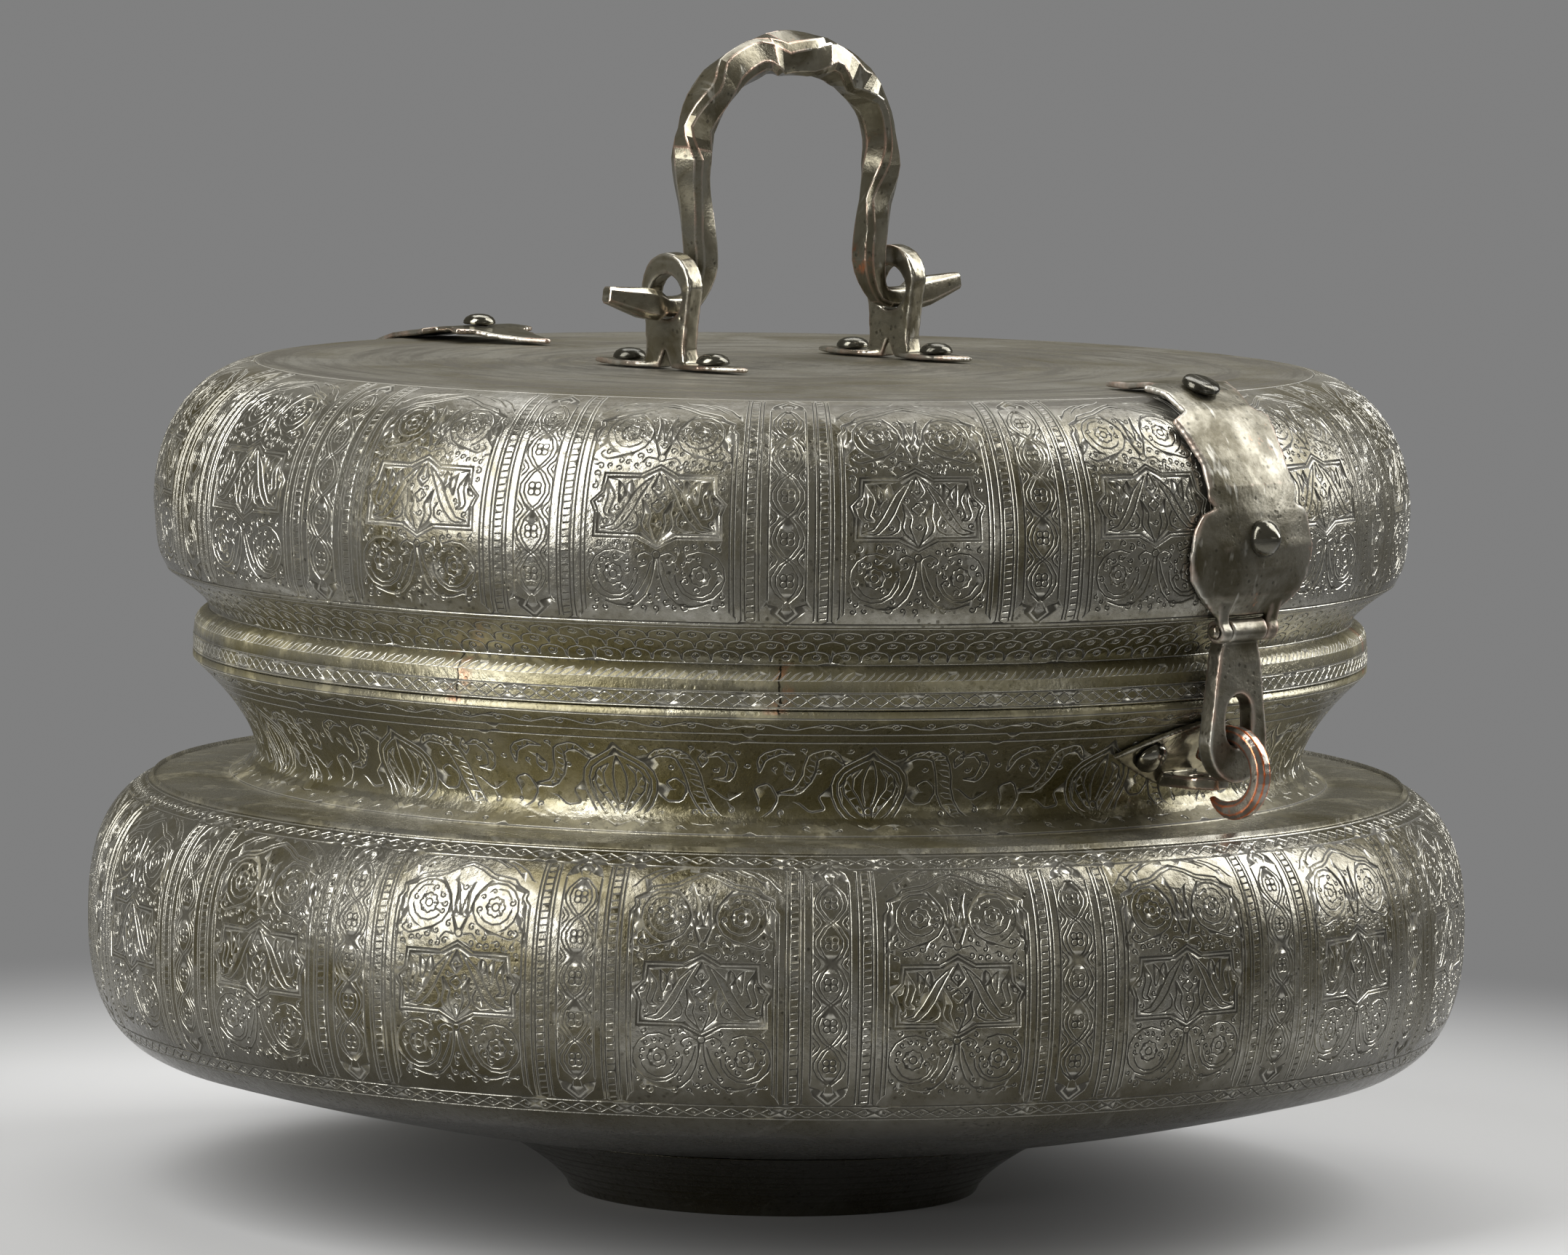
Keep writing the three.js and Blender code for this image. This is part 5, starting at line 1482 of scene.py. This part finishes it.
rivetTree = makeRivetTree()
rivetForms = {
    "dome": [(3.7, 0.0), (4.2, 0.25), (4.1, 0.9), (3.5, 1.75), (2.3, 2.4), (1.0, 2.62), (0, 2.66)],
    "flat": [(4.3, 0.0), (4.7, 0.3), (4.62, 1.1), (4.2, 1.75), (3.2, 2.1), (1.6, 2.22), (0, 2.24)],
    "stud": [(4.2, 0.0), (4.6, 0.4), (4.4, 1.5), (3.5, 2.9), (2.1, 4.1), (1.0, 5.0), (0, 5.3)],
    "tail": [(0, -1.0), (1.8, -0.9), (2.8, -0.35), (3.0, 0.0)],
}
rivetSets = {
    "lid_dome_rivets": ("dome", "lid_side", [
        "hinge_strap_rivet_1", "hinge_strap_rivet_2", "bail_eye_left_rivet_1", "bail_eye_left_rivet_2",
        "bail_eye_right_rivet_1", "bail_eye_right_rivet_2",
    ]),
    "lid_flat_rivet": ("flat", "lid_side", ["hasp_plate_rivet"]),
    "lid_stud_rivet": ("stud", "lid_side", ["hasp_plate_stud"]),
    "bowl_dome_rivets": ("dome", "bowl_side", [
        "staple_rivet_1", "staple_rivet_2", "hinge_leaf_rivet_1", "hinge_leaf_rivet_2",
    ]),
}
rivetWork = {"steps": 28, "heart": (0, 0, 0.1), "studLift": 0.0018, "clench": 0.001}
rivetObjects = {}
for form, outline in rivetForms.items():
    closed = [*outline, (0, 0)] if form == "tail" else [(0, 0), *outline]
    rivetObjects[form] = bpy.data.objects.new("form_" + form, spun(closed, rivetWork["steps"]))


def rivetSpots(nodes, height, lift, work):
    # a rivet is turned, so its shank is the one direction that differs in the spread of its points
    mesh = bpy.data.meshes.new("spots")
    places, aims, seats, tails = [], [], [], []
    for node in nodes:
        points = np.array([v.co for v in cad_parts[node].data.vertices])
        points = np.unique(points.round(7), axis=0)
        middle = points.mean(axis=0)
        spread, ways = np.linalg.eigh(np.cov((points - middle).T))
        lone = 0 if abs(spread[1] - spread[0]) > abs(spread[2] - spread[1]) else 2
        way = ways[:, lone]
        way = way if way @ (middle - np.array(work["heart"])) > 0 else -way
        along = (points - middle) @ way
        places.append(middle)
        aims.append(way)
        seats.append(along.max() - height * mm + lift)
        tails.append(along.min() + work["clench"])
    mesh.from_pydata([tuple(p) for p in places], [], [])
    mesh.attributes.new("aim", "FLOAT_VECTOR", "POINT").data.foreach_set("vector", np.array(aims).ravel())
    setValues(mesh, "seat", seats)
    setValues(mesh, "clench", tails)
    return mesh


for name, (form, body, nodes) in rivetSets.items():
    lift = rivetWork["studLift"] if form == "stud" else 0
    piece = grown(name, rivetSpots(nodes, rivetForms[form][-1][1], lift, rivetWork), rivetTree, {
        "Head": rivetObjects[form], "Tail": rivetObjects["tail"], "Material": darkRivet,
    })
    dress(piece, body, nodes)
print("fittings forged")

# Pale paper round the object that falls away into grey
floorLook = {
    "pale": grey(0.46), "grey": grey(0.215), "near": 0.19,
    "far": 0.48, "roughness": 0.85, "gloss": 0.15, "half": 6,
}
floorMaterial, tree = newMaterial("pale paper")
reach = vectorNode(tree, "LENGTH", addNode(tree, "ShaderNodeTexCoord").outputs["Object"])
paper = addNode(tree, "ShaderNodeBsdfPrincipled", {
    "Base Color": floorLook["pale"], "Roughness": floorLook["roughness"],
    "Specular IOR Level": floorLook["gloss"],
})
grounds = addNode(tree, "ShaderNodeBsdfDiffuse", {"Color": floorLook["grey"]})
backdrop = addNode(tree, "ShaderNodeEmission", {"Color": floorLook["grey"], "Strength": 1.0})
rays = addNode(tree, "ShaderNodeLightPath").outputs
seen = mathNode(tree, "MAXIMUM", rays["Is Camera Ray"], rays["Is Glossy Ray"])
far = addNode(tree, "ShaderNodeMixShader", {0: seen, 1: grounds.outputs[0], 2: backdrop.outputs[0]})
sheet = addNode(tree, "ShaderNodeMixShader", {
    0: ramp(tree, reach, floorLook["near"], floorLook["far"]), 1: paper.outputs[0], 2: far.outputs[0],
})
tree.links.new(sheet.outputs[0], addNode(tree, "ShaderNodeOutputMaterial").inputs[0])
floorMesh = bpy.data.meshes.new("floor")
corners = [(x * floorLook["half"], y * floorLook["half"], 0) for x, y in ((-1, -1), (1, -1), (1, 1), (-1, 1))]
floorMesh.from_pydata(corners, [], [(0, 1, 2, 3)])
floor = bpy.data.objects.new("floor", floorMesh)
floorMesh.materials.append(floorMaterial)
scene.collection.objects.link(floor)


def facing(direction):
    return direction.to_track_quat("-Z", "Y").to_matrix().to_4x4()


# Camera at the photograph's place
cameraWork = {
    "angle": math.radians(-45.5), "distance": 2.22, "height": 0.3464, "aimHeight": 0.1401,
    "roll": math.radians(0.81), "lens": 205.45, "sensor": 36.0, "shift": 0.0023, "clip": (0.05, 30),
}
cameraData = bpy.data.cameras.new("camera")
cameraData.lens, cameraData.sensor_width = cameraWork["lens"], cameraWork["sensor"]
cameraData.shift_x = cameraWork["shift"]
cameraData.clip_start, cameraData.clip_end = cameraWork["clip"]
camera = bpy.data.objects.new("camera", cameraData)
scene.collection.objects.link(camera)
angle, away = cameraWork["angle"], cameraWork["distance"]
eye = Vector((away * math.sin(angle), -away * math.cos(angle), cameraWork["height"]))
aim = facing(Vector((0, 0, cameraWork["aimHeight"])) - eye)
camera.matrix_world = Matrix.Translation(eye) @ aim @ Matrix.Rotation(cameraWork["roll"], 4, "Z")
scene.camera = camera

# Soft boxes, placed by their turn from the camera's line, their height and distance
softBoxes = {
    "key": {"turn": -52, "rise": 34, "distance": 1.7, "size": (1.0, 2.3), "power": 56},
    "right": {"turn": 108, "rise": 36, "distance": 1.5, "size": (0.9, 1.6), "power": 33},
    "fill": {"turn": 40, "rise": 8, "distance": 1.9, "size": (1.0, 0.5), "power": 1.4},
    "top": {"turn": 178, "rise": 58, "distance": 1.6, "size": (1.2, 0.8), "power": 10},
}
lampAim = Vector((0, 0, 0.14))
for name, box in softBoxes.items():
    data = bpy.data.lights.new(name, "AREA")
    data.shape, data.energy = "RECTANGLE", box["power"]
    data.size, data.size_y = box["size"]
    lamp = bpy.data.objects.new(name, data)
    scene.collection.objects.link(lamp)
    turn, rise = angle + math.radians(box["turn"]), math.radians(box["rise"])
    back = Vector((math.sin(turn) * math.cos(rise), -math.cos(turn) * math.cos(rise), math.sin(rise)))
    lamp.matrix_world = Matrix.Translation(lampAim + back * box["distance"]) @ facing(-back)

roomTone = (0.112, 0.106, 0.085, 1)
world = bpy.data.worlds.new("studio")
world.use_nodes = True
scene.world = world
tree = world.node_tree
rays = addNode(tree, "ShaderNodeLightPath").outputs
tone = mixColor(tree, rays["Is Camera Ray"], roomTone, floorLook["grey"])
tree.links.new(tone, tree.nodes["Background"].inputs["Color"])
tree.nodes["Background"].inputs["Strength"].default_value = 1.0
scene.view_settings.view_transform = "Standard"
print("stage set")

bpy.context.view_layer.update()
